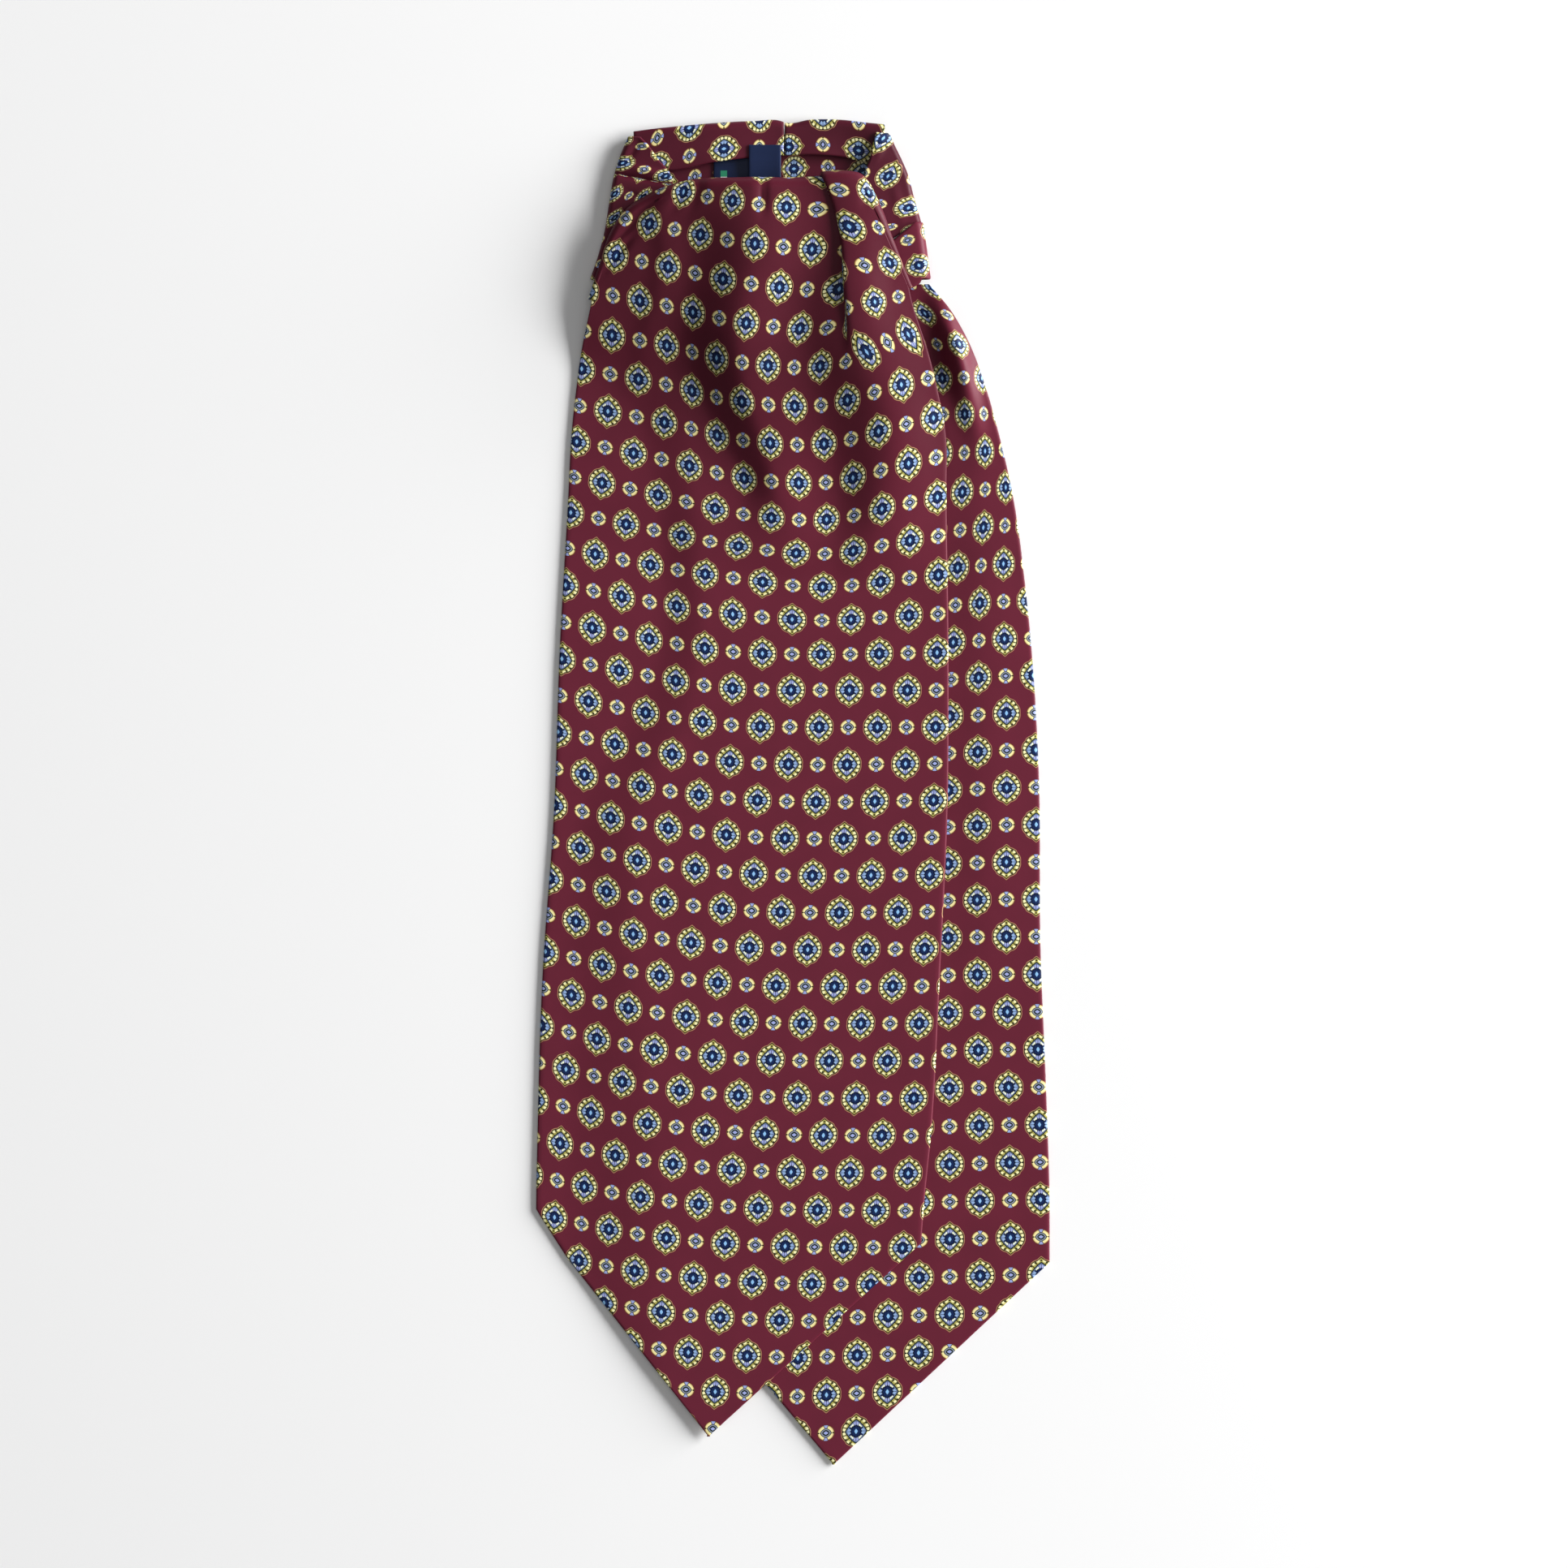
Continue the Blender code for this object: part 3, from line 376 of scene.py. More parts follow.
def read_smooth(places, values, at, straight_on=False):
    """Values of a smooth curve through a few places, level past its ends or straight on."""
    order = np.argsort(places)
    places = np.asarray(places, float)[order]
    values = np.asarray(values, float)[order]
    slopes = np.gradient(values, places)
    asked = np.asarray(at, float)
    at = np.clip(asked, places[0], places[-1])
    index = np.clip(np.searchsorted(places, at, side="right") - 1, 0, len(places) - 2)
    span = places[index + 1] - places[index]
    result = hermite((at - places[index]) / span, span, values[index], values[index + 1],
                     slopes[index], slopes[index + 1])
    if straight_on:
        beyond = np.where(asked < places[0], slopes[0], slopes[-1])
        result = result + beyond * (asked - at)
    return result


def column(rows, name):
    """One named column of a table."""
    return [getattr(row, name) for row in rows]


def read_row(rows, name, at):
    """A table's column read at values of its first column."""
    return read_smooth([row[0] for row in rows], column(rows, name), at)


def read_path(points, shares):
    """Points at even shares of the length of a smooth path."""
    across = np.array(column(points, "across"), float)
    height = np.array(column(points, "height"), float)
    steps = np.hypot(np.diff(across), np.diff(height))
    length = np.concatenate([[0.0], np.cumsum(steps)])
    at = np.asarray(shares) * length[-1]
    return read_smooth(length, across, at), read_smooth(length, height, at)


def even(count):
    """Even shares from 0 to 1."""
    return np.linspace(0.0, 1.0, count)


def with_soft_ends(shares, length):
    """Shares of a length with a few more close to both ends, where an edge rounds off."""
    near = SOFT_END / length
    inner = near[-1] + (1.0 - 2.0 * near[-1]) * shares[1:-1]
    return np.concatenate([near, inner, 1.0 - near[::-1]])


def grid_lines(count, length):
    """Even shares of a length with a few more close to both ends."""
    return with_soft_ends(even(count), length)


# ---- heights of the cloth
def fold_depth(folds, across, height):
    """Sum of all folds' heights at a place, each a soft ridge or trough along its run."""
    total = np.zeros(np.broadcast(across, height).shape)
    for fold in folds:
        middle = read_row(fold.run, "across", height)
        depth = read_row(fold.run, "depth", height)
        top = fold.run[0].height
        depth = depth * smooth_step(-top - FOLD_FADE, -top, -height)
        offset = across - middle
        width = np.where(offset < 0.0, fold.left_width, fold.right_width)
        total = total + depth * np.exp(-((offset / width) ** 2))
    return total


def dent_depth(dents, across, height):
    """Sum of the short creases at a place."""
    total = np.zeros(np.broadcast(across, height).shape)
    for dent in dents:
        turn = radians(dent.turn)
        beside = across - dent.across
        above = height - dent.height
        wide = (beside * cos(turn) + above * sin(turn)) / dent.half_width
        long = (above * cos(turn) - beside * sin(turn)) / dent.half_height
        total = total + dent.depth * np.exp(-(wide ** 2) - long ** 2)
    return total


def lying_height(across, height):
    """Middle of the front blade where it lies flat: on the table, or right of a line on the
    rear blade."""
    line = read_row(STEP, "across", height)
    reach = read_row(STEP, "depth", height)
    return ON_TABLE + (FRONT_ON_REAR - ON_TABLE) * smooth_step(-1.0, 1.0, (across - line) / reach)


def rise_through(lines, across, height):
    """Rise of a surface through lines that run along it, level where a line is a crest or a
    hollow, held past the outer lines and nowhere below zero."""
    places = [read_row(line, "across", height) for line in lines]
    levels = [read_row(line, "depth", height) for line in lines]
    gaps = [after - before for before, after in zip(places, places[1:])]
    slopes = [(after - before) / gap for before, after, gap in zip(levels, levels[1:], gaps)]
    turns = [slopes[0]]
    for before, after in zip(slopes, slopes[1:]):
        product = np.maximum(before * after, 0.0)
        turns.append(2.0 * product / np.where(product > 0.0, before + after, 1.0))
    turns.append(slopes[-1])
    total = levels[0] + np.zeros(np.broadcast(across, height).shape)
    for index, gap in enumerate(gaps):
        share = np.clip((across - places[index]) / gap, 0.0, 1.0)
        through = hermite(share, gap, levels[index], levels[index + 1],
                          turns[index], turns[index + 1])
        total = np.where(across >= places[index], through, total)
    return np.maximum(total, 0.0)


def front_height(across, height):
    """Middle of the front blade above the table."""
    edge_height = np.minimum(height, FRONT_EDGES[0].height)
    left = read_row(FRONT_EDGES, "left", edge_height)
    right = read_row(FRONT_EDGES, "right", edge_height)
    side = np.clip((2.0 * across - left - right) / (right - left), -1.0, 1.0)
    away_from_edge = 1.0 - np.abs(side) ** EDGE_POWER
    folds = fold_depth(FRONT_FOLDS, across, height) * away_from_edge
    return (lying_height(across, height) + rise_through(KNOT_LINES, across, height) + folds
            + dent_depth(FRONT_DENTS, across, height))


def rear_height(across, height):
    """Middle of the rear blade above the table."""
    return ON_TABLE + fold_depth(REAR_FOLDS, across, height)


# ---- surfaces
def path_at(path, height):
    """Where a path that falls from point to point crosses a height."""
    return np.interp(-height, [-point.height for point in path],
                     [point.across for point in path])


def pointed_rows(heights, shares, edges, tip, left_path, right_path):
    """Plan of a blade: level rows between its side edges, and between its slanted edges below."""
    rows = []
    for height in heights:
        left, right = (path_at(path, height) if height < path[0].height
                       else read_row(edges, side, height)
                       for side, path in (("left", left_path), ("right", right_path)))
        if right - left < BLUNT_TIP:
            left = tip.across - BLUNT_TIP / 2
            right = tip.across + BLUNT_TIP / 2
        across = left + (right - left) * shares
        rows.append(np.stack([across, np.full_like(across, height)], axis=1))
    return rows


def shares_across(grid):
    """Shares of a blade's width where its grid has lines, closer together about one place."""
    fine = even(FINE_SHARES)
    density = 1.0 + grid.gain * np.exp(-(((fine - grid.middle) / grid.spread) ** 2))
    total = np.concatenate([[0.0], np.cumsum((density[1:] + density[:-1]) / 2)])
    shares = np.interp(even(grid.count), total / total[-1], fine)
    return with_soft_ends(shares, grid.width)


def spaced(start, end, pitch):
    """Even places from start to end, about a pitch apart."""
    return np.linspace(start, end, max(2, round(abs(end - start) / pitch) + 1))


def at_level(plan, level):
    """Places of the plan with one height for all or a height each."""
    return np.column_stack([plan, np.full(len(plan), level)])


def front_plan(shares):
    """Plan of the front blade's rows from its tip up to the knot, and how its top edge runs."""
    left_path = [FRONT_LEFT_CORNER, FRONT_LEFT_CORNER_TURN, FRONT_TIP]
    right_path = [FRONT_RIGHT_CORNER, FRONT_TIP]
    tip_end = FRONT_TIP.height + SOFT_END
    corner = FRONT_RIGHT_CORNER.height
    heights = [*tip_end, *spaced(tip_end[-1] + FIRST_ROW, corner, FRONT_POINT_PITCH),
               *spaced(corner, SHOULDER_START, FRONT_PITCH)[1:]]
    plan = pointed_rows(heights, shares, FRONT_EDGES, FRONT_TIP, left_path, right_path)
    top_edge = np.stack(read_path(FRONT_TOP_EDGE, shares), axis=1)
    along = np.gradient(top_edge, shares, axis=0)
    along /= np.linalg.norm(along, axis=1, keepdims=True)
    outward = np.stack([-along[:, 1], along[:, 0]], axis=1)
    return plan, top_edge, outward


def shoulder_rows(start, end, shares):
    """Plan of the front blade's rows from one up to another, eased out to its side edges."""
    rows = []
    for rise in even(SHOULDER_ROWS + 1)[1:]:
        row = start + (end - start) * rise
        left_edge = read_row(FRONT_EDGES, "left", row[0, 1])
        right_edge = read_row(FRONT_EDGES, "right", row[-1, 1])
        ease = 1.0 - rise ** SHOULDER_EASE
        row[:, 0] += ease * ((left_edge - row[0, 0]) * (1.0 - shares)
                             + (right_edge - row[-1, 0]) * shares)
        rows.append(row)
    return rows


def roll_profile(shares):
    """Radius and reach of the roll at shares of the top edge, fullest in the middle."""
    swell = np.sin(pi * shares) ** ROLL_SWELL_POWER
    radius = ROLL_END_RADIUS + (ROLL_RADIUS - ROLL_END_RADIUS) * swell
    reach = ROLL_END_TURN + (ROLL_TURN - ROLL_END_TURN) * swell
    return radius, reach


def overlap_pleat(points, plan):
    """Lean the cloth right of the pleat over the cloth left of it."""
    height = np.minimum(plan[..., 1], PLEAT[0].height)
    line = read_row(PLEAT, "across", height)
    hidden = read_row(PLEAT, "columns", height)
    strength = np.clip(hidden / PLEAT[1].columns, 0.0, 1.0) ** PLEAT_POWER
    beside = (plan[..., 0] - line) / PLEAT_WIDTH
    lean = -PLEAT_OVERHANG * beside * np.exp(0.5 - beside ** 2 / 2)
    points[..., 0] += strength * lean
    step = read_row(PLEAT, "step", height)
    points[..., 2] += step * (smooth_step(-PLEAT_RISE, PLEAT_RISE, beside)
                              - smooth_step(PLEAT_RISE, PLEAT_FALL, beside))


def front_surface():
    """The front blade: body, shoulders and the roll over the knot."""
    shares = shares_across(FRONT_ACROSS)
    plan, top_edge, outward = front_plan(shares)
    radius, reach = roll_profile(shares)
    inset = radius * np.sin(np.minimum(reach, pi / 2)) + SILK / 2
    base = top_edge - outward * inset[:, None]
    plan += shoulder_rows(plan[-1], base, shares)
    lying = np.array(plan)
    lift = front_height(lying[..., 0], lying[..., 1])
    points = [*np.dstack([lying, lift])]
    for share in grid_lines(ROLL_ROWS, ROLL_LENGTH)[1:]:
        turn = reach * share
        row = base + outward * (radius * np.sin(turn))[:, None]
        points.append(at_level(row, lift[-1] - radius * (1.0 - np.cos(turn))))
        plan.append(base + outward * (radius * turn)[:, None])
    surface = Surface(np.array(points), np.array(plan))
    overlap_pleat(surface.points, surface.plan)
    return surface


def rear_surface():
    """The rear blade."""
    tip_end = REAR_TIP.height + SOFT_END
    top_end = REAR_EDGES[0].height - SOFT_END[::-1]
    corner = REAR_RIGHT_CORNER.height
    heights = [*tip_end, *spaced(tip_end[-1] + FIRST_ROW, corner, REAR_POINT_PITCH),
               *spaced(corner, REAR_FOLDS_START, REAR_PITCH)[1:],
               *spaced(REAR_FOLDS_START, top_end[0] - FIRST_ROW, REAR_FOLDS_PITCH)[1:], *top_end]
    plan = np.array(pointed_rows(heights, shares_across(REAR_ACROSS), REAR_EDGES, REAR_TIP,
                                 [REAR_LEFT_CORNER, REAR_TIP], [REAR_RIGHT_CORNER, REAR_TIP]))
    return Surface(np.dstack([plan, rear_height(plan[..., 0], plan[..., 1])]), plan)


def creased(surface, level, dents):
    """The surface with short creases pressed into its upper side."""
    points = surface.points
    upper = np.clip((points[..., 2] - ON_TABLE) / (level - ON_TABLE), 0.0, 1.0) ** 2
    points[..., 2] += upper * dent_depth(dents, points[..., 0], points[..., 1])
    return surface


def band_at(rows, share):
    """The outer and the inner edge of a band at a share of its table."""
    place = share * (len(rows) - 1)
    across_height = [read_smooth(range(len(rows)), column(rows, name), place)
                     for name in Band._fields]
    return np.array(across_height[:2]), np.array(across_height[2:])


def turned_under(level):
    """A fold from a level down to the table and a little way back: how far out each of its
    places is, how high, and how far along the cloth."""
    radius = (level - ON_TABLE) / 2
    turn = [(radius * sin(angle), ON_TABLE + radius * (1.0 + cos(angle)), radius * angle)
            for angle in np.linspace(0.0, pi, FOLD_STEPS)]
    back = [(-FOLD_RETURN * step, ON_TABLE, radius * pi + FOLD_RETURN * step)
            for step in RETURN_STEPS]
    return np.array(turn + back)


def side_band_surface(rows, inner_level, fold_level):
    """A side of the neckband: from its free inner edge, then round the fold and under."""
    radius = (fold_level - ON_TABLE) / 2
    fold = turned_under(fold_level)
    points = []
    plan = []
    for share in grid_lines(BAND_ROWS, BAND_LENGTH):
        outer, inner = band_at(rows, share)
        out = np.array([np.sign(outer[0] - inner[0]), 0.0])
        centre = outer - out * (radius + SILK / 2)
        width = np.linalg.norm(centre - inner)
        flat = grid_lines(BAND_COLUMNS, width)[:-len(SOFT_END)]
        spread = inner + (centre - inner) * flat[:, None]
        points.append([*at_level(spread, inner_level + (fold_level - inner_level) * flat),
                       *at_level(centre + out * fold[:, :1], fold[:, 1])])
        plan.append([*spread, *(centre + out * fold[:, 2:])])
    return Surface(np.array(points), np.array(plan))


def wrap_surface():
    """The wrap: across the rear blade, over its edge and under."""
    shares = grid_lines(WRAP_COLUMNS, WRAP_WIDTH)[:, None]

    def edge_to_edge(outer, inner):
        return outer + (inner - outer) * shares

    radius = (ON_SIDE_BANDS - ON_TABLE) / 2
    outline = edge_to_edge(*WRAP_FOLD) - np.array([radius + SILK / 2, 0.0])
    plan = [edge_to_edge(*band_at(WRAP_BAND, share))
            for share in grid_lines(WRAP_ROWS, WRAP_LENGTH)[:-1]]
    points = [at_level(line, ON_SIDE_BANDS) for line in plan]
    for out, level, along in turned_under(ON_SIDE_BANDS):
        points.append(at_level(outline + np.array([out, 0.0]), level))
        plan.append(outline + np.array([along, 0.0]))
    return Surface(np.array(points), np.array(plan))


def flap_edges(across):
    """Heights of the upper pleat's free edge and of its folded top."""
    return read_row(BACK_FLAP, "lap", across), read_row(BACK_FLAP, "top", across)


def flap_height(across, height):
    """Middle of the upper pleat of the back band, which stands a little open at its free edge."""
    lap, top = flap_edges(across)
    down = np.clip((top - height) / (top - lap), 0.0, 1.0)
    is_open = (smooth_step(LAP_OPEN_FROM - LAP_OPEN_FADE, LAP_OPEN_FROM + LAP_OPEN_FADE, across)
               * smooth_step(-LAP_OPEN_TO, -LAP_OPEN_TO + 2 * LAP_OPEN_FADE, -across))
    wave = 1.0 + LAP_WAVE * np.sin(across / LAP_WAVE_REACH)
    fullness = read_row(FLAP_FULLNESS, "height", across)
    to_edge = 1.0 - np.clip((top - height) / FLAP_TURN, 0.0, 1.0)
    turned = np.sqrt(1.0 - to_edge ** 2)
    return (ON_REAR + LAP_LIFT * is_open * wave * down ** 2
            + fullness * (1.0 - down) * turned)


def hanging_surface(places, heights_at, lift_at):
    """A surface of lines at places across, each down its heights and lifted off the table."""
    lines = []
    for across in places:
        heights = heights_at(across)
        plan = np.column_stack([np.full_like(heights, across), heights])
        lines.append(at_level(plan, lift_at(across, heights)))
    points = np.array(lines)
    return Surface(points, points[..., :2].copy())


def flap_surface(start, end):
    """The upper pleat of the back band between two places across."""
    def heights_at(across):
        lap, top = flap_edges(across)
        return top + (lap - top) * grid_lines(FLAP_ROWS, FLAP_WIDTH)

    lines = grid_lines(round((end - start) / FLAP_PITCH), end - start)
    return hanging_surface(start + (end - start) * lines, heights_at, flap_height)


def patch_surface(patch, top_at, lift_at):
    """A flat piece between two places across, from its bottom up to a top edge."""
    width = patch.right - patch.left
    rows = round(top_at(patch.left) - patch.bottom)

    def heights_at(across):
        length = top_at(across) - patch.bottom
        return top_at(across) - length * grid_lines(rows, length)

    lines = grid_lines(round(width), width)
    return hanging_surface(patch.left + width * lines, heights_at, lift_at)


def lower_flap_surface():
    """The lower pleat of the back band."""
    return patch_surface(
        LOWER_FLAP,
        lambda across: flap_edges(across)[1] - LOWER_FLAP_INSET,
        lambda across, heights: ON_TABLE)


def brand_label_surface():
    """The long label: on the upper pleat, then down into the neck opening."""
    def lift(across, heights):
        lap, _ = flap_edges(across)
        on_flap = flap_height(across, np.maximum(heights, lap)) + (SILK + LABEL) / 2 + LABEL_GAP
        return on_flap - BRAND_LABEL_SAG * smooth_step(-lap, -BRAND_LABEL.bottom, -heights)

    return patch_surface(BRAND_LABEL, lambda across: BRAND_LABEL.top, lift)


def care_label_surface():
    """The small label: on the lower pleat, up under the upper one."""
    return patch_surface(
        CARE_LABEL,
        lambda across: flap_edges(across)[0] + CARE_LABEL_TUCK,
        lambda across, heights: ON_TABLE + (SILK + LABEL) / 2 + LABEL_GAP)


def knot_ceiling(across, height):
    """Height the hidden layers reach: just under the lowest part of the front blade nearby."""
    lowest = front_height(across, height)
    for angle in np.arange(0.0, 2.0 * pi, pi / 4):
        beside = front_height(across + KNOT_REACH * cos(angle), height + KNOT_REACH * sin(angle))
        lowest = np.minimum(lowest, beside)
    return lowest - SILK / 2 - KNOT_CLEARANCE


def knot_rings():
    """Rings of the hidden layers, from the table up: how far inside the outline, the share of
    the height and the ring's scale. The side bulges once for each layer."""
    side = []
    for share in even(KNOT_LAYER_RINGS * KNOT_LAYERS + 1):
        bulge = abs(sin(pi * KNOT_LAYERS * share)) ** KNOT_BULGE_POWER
        side.append((KNOT_LEAN * share ** 2 + KNOT_GROOVE * (1.0 - bulge),
                     KNOT_SIDE_SHARE * share, 1.0))
    inset, share, _ = side[-1]
    shoulder = [(inset + KNOT_SHOULDER * (1.0 - cos(turn)), share + (1.0 - share) * sin(turn), 1.0)
                for turn in np.linspace(0.0, pi / 2, KNOT_SHOULDER_RINGS + 1)[1:]]
    inset = shoulder[-1][0]
    return side + shoulder + [(inset, 1.0, scale) for scale in KNOT_TOP_SCALES]


# ---- the print on the cloth
def lattice_weights(places, at):
    """How much each place of a table counts at each asked value."""
    rows = np.eye(len(places))
    return np.array([read_smooth(places, unit, at, straight_on=True) for unit in rows])


def lattice_places(rows, columns, i, j):
    """Plan places of lattice coordinates, from a table of measured rows."""
    by_row = lattice_weights(column(rows, "row"), j)
    by_column = lattice_weights(columns, i)
    across = np.array(column(rows, "across"))
    height = np.array(column(rows, "height"))
    return (np.einsum("rn,rc,cn->n", by_row, across, by_column),
            np.einsum("rn,rc,cn->n", by_row, height, by_column))


def stretch_print(plan, stretch):
    """Lattice coordinates of a flat stretch."""
    beside = plan[..., 0] - stretch.across
    above = plan[..., 1] - stretch.height
    (a, c), (b, d) = stretch.column_step, stretch.row_step
    area = a * d - b * c
    return np.stack([(d * beside - b * above) / area, (a * above - c * beside) / area], axis=-1)


def lattice_at(rows, columns, plan, nearly):
    """Lattice coordinates of plan places, by Newton's method on the table, from a flat stretch
    that is nearly right."""
    across, height = plan.reshape(-1, 2).T
    i, j = stretch_print(plan, nearly).reshape(-1, 2).T
    for _ in range(NEWTON_STEPS):
        here_x, here_y = lattice_places(rows, columns, i, j)
        right_x, right_y = lattice_places(rows, columns, i + NUDGE, j)
        up_x, up_y = lattice_places(rows, columns, i, j + NUDGE)
        a, b = (right_x - here_x) / NUDGE, (up_x - here_x) / NUDGE
        c, d = (right_y - here_y) / NUDGE, (up_y - here_y) / NUDGE
        area = np.maximum(a * d - b * c, LEAST_CELL_AREA)
        miss_x, miss_y = across - here_x, height - here_y
        i = i + np.clip((d * miss_x - b * miss_y) / area, -LONGEST_STEP, LONGEST_STEP)
        j = j + np.clip((a * miss_y - c * miss_x) / area, -LONGEST_STEP, LONGEST_STEP)
    return np.stack([i, j], axis=-1).reshape(plan.shape)


def front_print(plan):
    """Lattice coordinates of the front blade, with the cloth that its pleat hides."""
    lattice = lattice_at(FRONT_PRINT, FRONT_COLUMNS, plan, FRONT_NEARLY)
    height = np.minimum(plan[..., 1], PLEAT[0].height)
    beside = (plan[..., 0] - read_row(PLEAT, "across", height)) / PLEAT_WIDTH
    past = smooth_step(-PLEAT_HIDES, PLEAT_HIDES, beside)
    lattice[..., 0] += past * read_row(PLEAT, "columns", height)
    lattice[..., 1] += past * read_row(PLEAT, "rows", height)
    return lattice


def rear_print(plan):
    """Lattice coordinates of the rear blade."""
    return lattice_at(REAR_PRINT, REAR_COLUMNS, plan, REAR_NEARLY)


def back_print(plan, drop=0.0, shift=0.0):
    """Lattice coordinates of the back of the neckband, where the strand runs across."""
    line = read_row(BACK_LINE, "height", plan[..., 0]) - drop
    along = read_smooth(BACK_ROW_PLACES, BACK_ROWS, plan[..., 0] - shift, straight_on=True)
    return np.stack([(plan[..., 1] - line) / BACK_COLUMN_PITCH, along], axis=-1)


def left_print(plan):
    """Lattice coordinates of the left side of the neckband, with the cloth its crease hides."""
    start, end = LEFT_BAND_CREASE
    slope = (end.height - start.height) / (end.across - start.across)
    above = plan[..., 1] - start.height - slope * (plan[..., 0] - start.across)
    past = smooth_step(-LEFT_CREASE_WIDTH, LEFT_CREASE_WIDTH, above)[..., None]
    lower = stretch_print(plan, LEFT_LOWER_STRETCH) - np.array([0.0, LEFT_CREASE_ROWS])
    return lower + (stretch_print(plan, LEFT_UPPER_STRETCH) - lower) * past


def right_print(plan):
    """Lattice coordinates of the right side of the neckband."""
    return lattice_at(RIGHT_PRINT, RIGHT_COLUMNS, plan, RIGHT_NEARLY)


def label_print(plan, patch):
    """Millimetres from a label's lower left corner."""
    return plan - np.array([patch.left, patch.bottom])


# ---- meshes
def edge_distance(points):
    """Distance of each grid point from the nearest border of its grid, along the grid's lines."""
    def from_start(axis):
        steps = np.linalg.norm(np.diff(points, axis=axis), axis=2)
        start = np.zeros_like(np.take(steps, [0], axis=axis))
        there = np.concatenate([start, np.cumsum(steps, axis=axis)], axis=axis)
        return np.minimum(there, np.take(there, [-1], axis=axis) - there)

    return np.minimum(from_start(0), from_start(1))


def grid_faces(numbers):
    """The corners of every cell of a grid of numbers, in order round the cell."""
    corners = [numbers[:-1, :-1], numbers[:-1, 1:], numbers[1:, 1:], numbers[1:, :-1]]
    return np.stack(corners, axis=-1).reshape(-1, 4)


def add_shell(name, surface, lattice, thickness, material):
    """A closed thin shell about a grid of middle points, with rounded edges and print places."""
    points = surface.points
    normal = np.cross(np.gradient(points, axis=1), np.gradient(points, axis=0))
    normal /= np.maximum(np.linalg.norm(normal, axis=2, keepdims=True), SHORTEST_NORMAL)
    near = np.clip(edge_distance(points) / SOFT_EDGE, 0.0, 1.0)
    half = thickness / 2 * np.sqrt(1.0 - (1.0 - near) ** 2)[..., None]

    # Both sides share the places on the border. Inside it each place has a lower one after it.
    inside = np.zeros(points.shape[:2], int)
    inside[1:-1, 1:-1] = 1
    top = np.cumsum(1 + inside).reshape(inside.shape) - 1 - inside
    bottom = top + inside
    places = np.empty((inside.size + inside.sum(), 3))
    prints = np.empty((len(places), 2))
    for side, numbers in ((-1.0, bottom), (1.0, top)):
        places[numbers] = points + side * normal * half
        prints[numbers] = lattice
    faces = np.stack([grid_faces(top), grid_faces(bottom)[:, ::-1]], axis=1).reshape(-1, 4)
    return add_mesh(name, places, faces, prints, material)


def add_mesh(name, places, faces, lattice, material):
    """A smooth shaded object from places in millimetres with their lattice coordinates, and
    faces that number them."""
    shape = bmesh.new()
    layer = shape.loops.layers.uv.new("print")
    corners = [shape.verts.new(place) for place in places * MM]
    for face in faces:
        made = shape.faces.new([corners[number] for number in face])
        for loop, number in zip(made.loops, face):
            loop[layer].uv = lattice[number]
    bmesh.ops.recalc_face_normals(shape, faces=shape.faces)
    mesh = bpy.data.meshes.new(name)
    shape.to_mesh(mesh)
    shape.free()
    mesh.shade_smooth()
    mesh.materials.append(material)
    thing = bpy.data.objects.new(name, mesh)
    bpy.context.scene.collection.objects.link(thing)
    return thing


def add_knot_layers(material):
    """The hidden layers: one rounded solid, layered at its edge."""
    closed = [*KNOT_OUTLINE, KNOT_OUTLINE[0]]
    outline = np.stack(read_path(closed, np.arange(KNOT_SIDES) / KNOT_SIDES), axis=1)
    middle = outline.mean(axis=0)
    reach = np.linalg.norm(outline - middle, axis=1, keepdims=True)
    rings = []
    for inset, share, scale in knot_rings():
        ring = middle + (outline - middle) * (1.0 - inset / reach) * scale
        ceiling = knot_ceiling(ring[:, 0], ring[:, 1])
        rings.append(at_level(ring, KNOT_BASE + (ceiling - KNOT_BASE) * share))
    places = np.concatenate(rings)
    numbers = np.arange(len(places)).reshape(-1, KNOT_SIDES)
    sides = grid_faces(np.column_stack([numbers, numbers[:, 0]]))
    faces = [*sides, numbers[0][::-1], numbers[-1]]
    return add_mesh("knot_silk", places, faces, stretch_print(places, KNOT_STRETCH), material)


# ---- colours and materials
MIX_UNDER, MIX_OVER, MIX_RESULT = 6, 7, 2       # colour sockets of Blender's mix node
Oval = namedtuple("Oval", "half_width half_length power")


def colour(code):
    """Linear colour with alpha from a hexadecimal sRGB code."""
    parts = [int(code[start:start + 2], 16) / 255 for start in (0, 2, 4)]
    linear = [part / 12.92 if part <= 0.04045 else ((part + 0.055) / 1.055) ** 2.4
              for part in parts]
    return (*linear, 1.0)


def grey(tone):
    """A linear grey with alpha."""
    return (tone, tone, tone, 1.0)


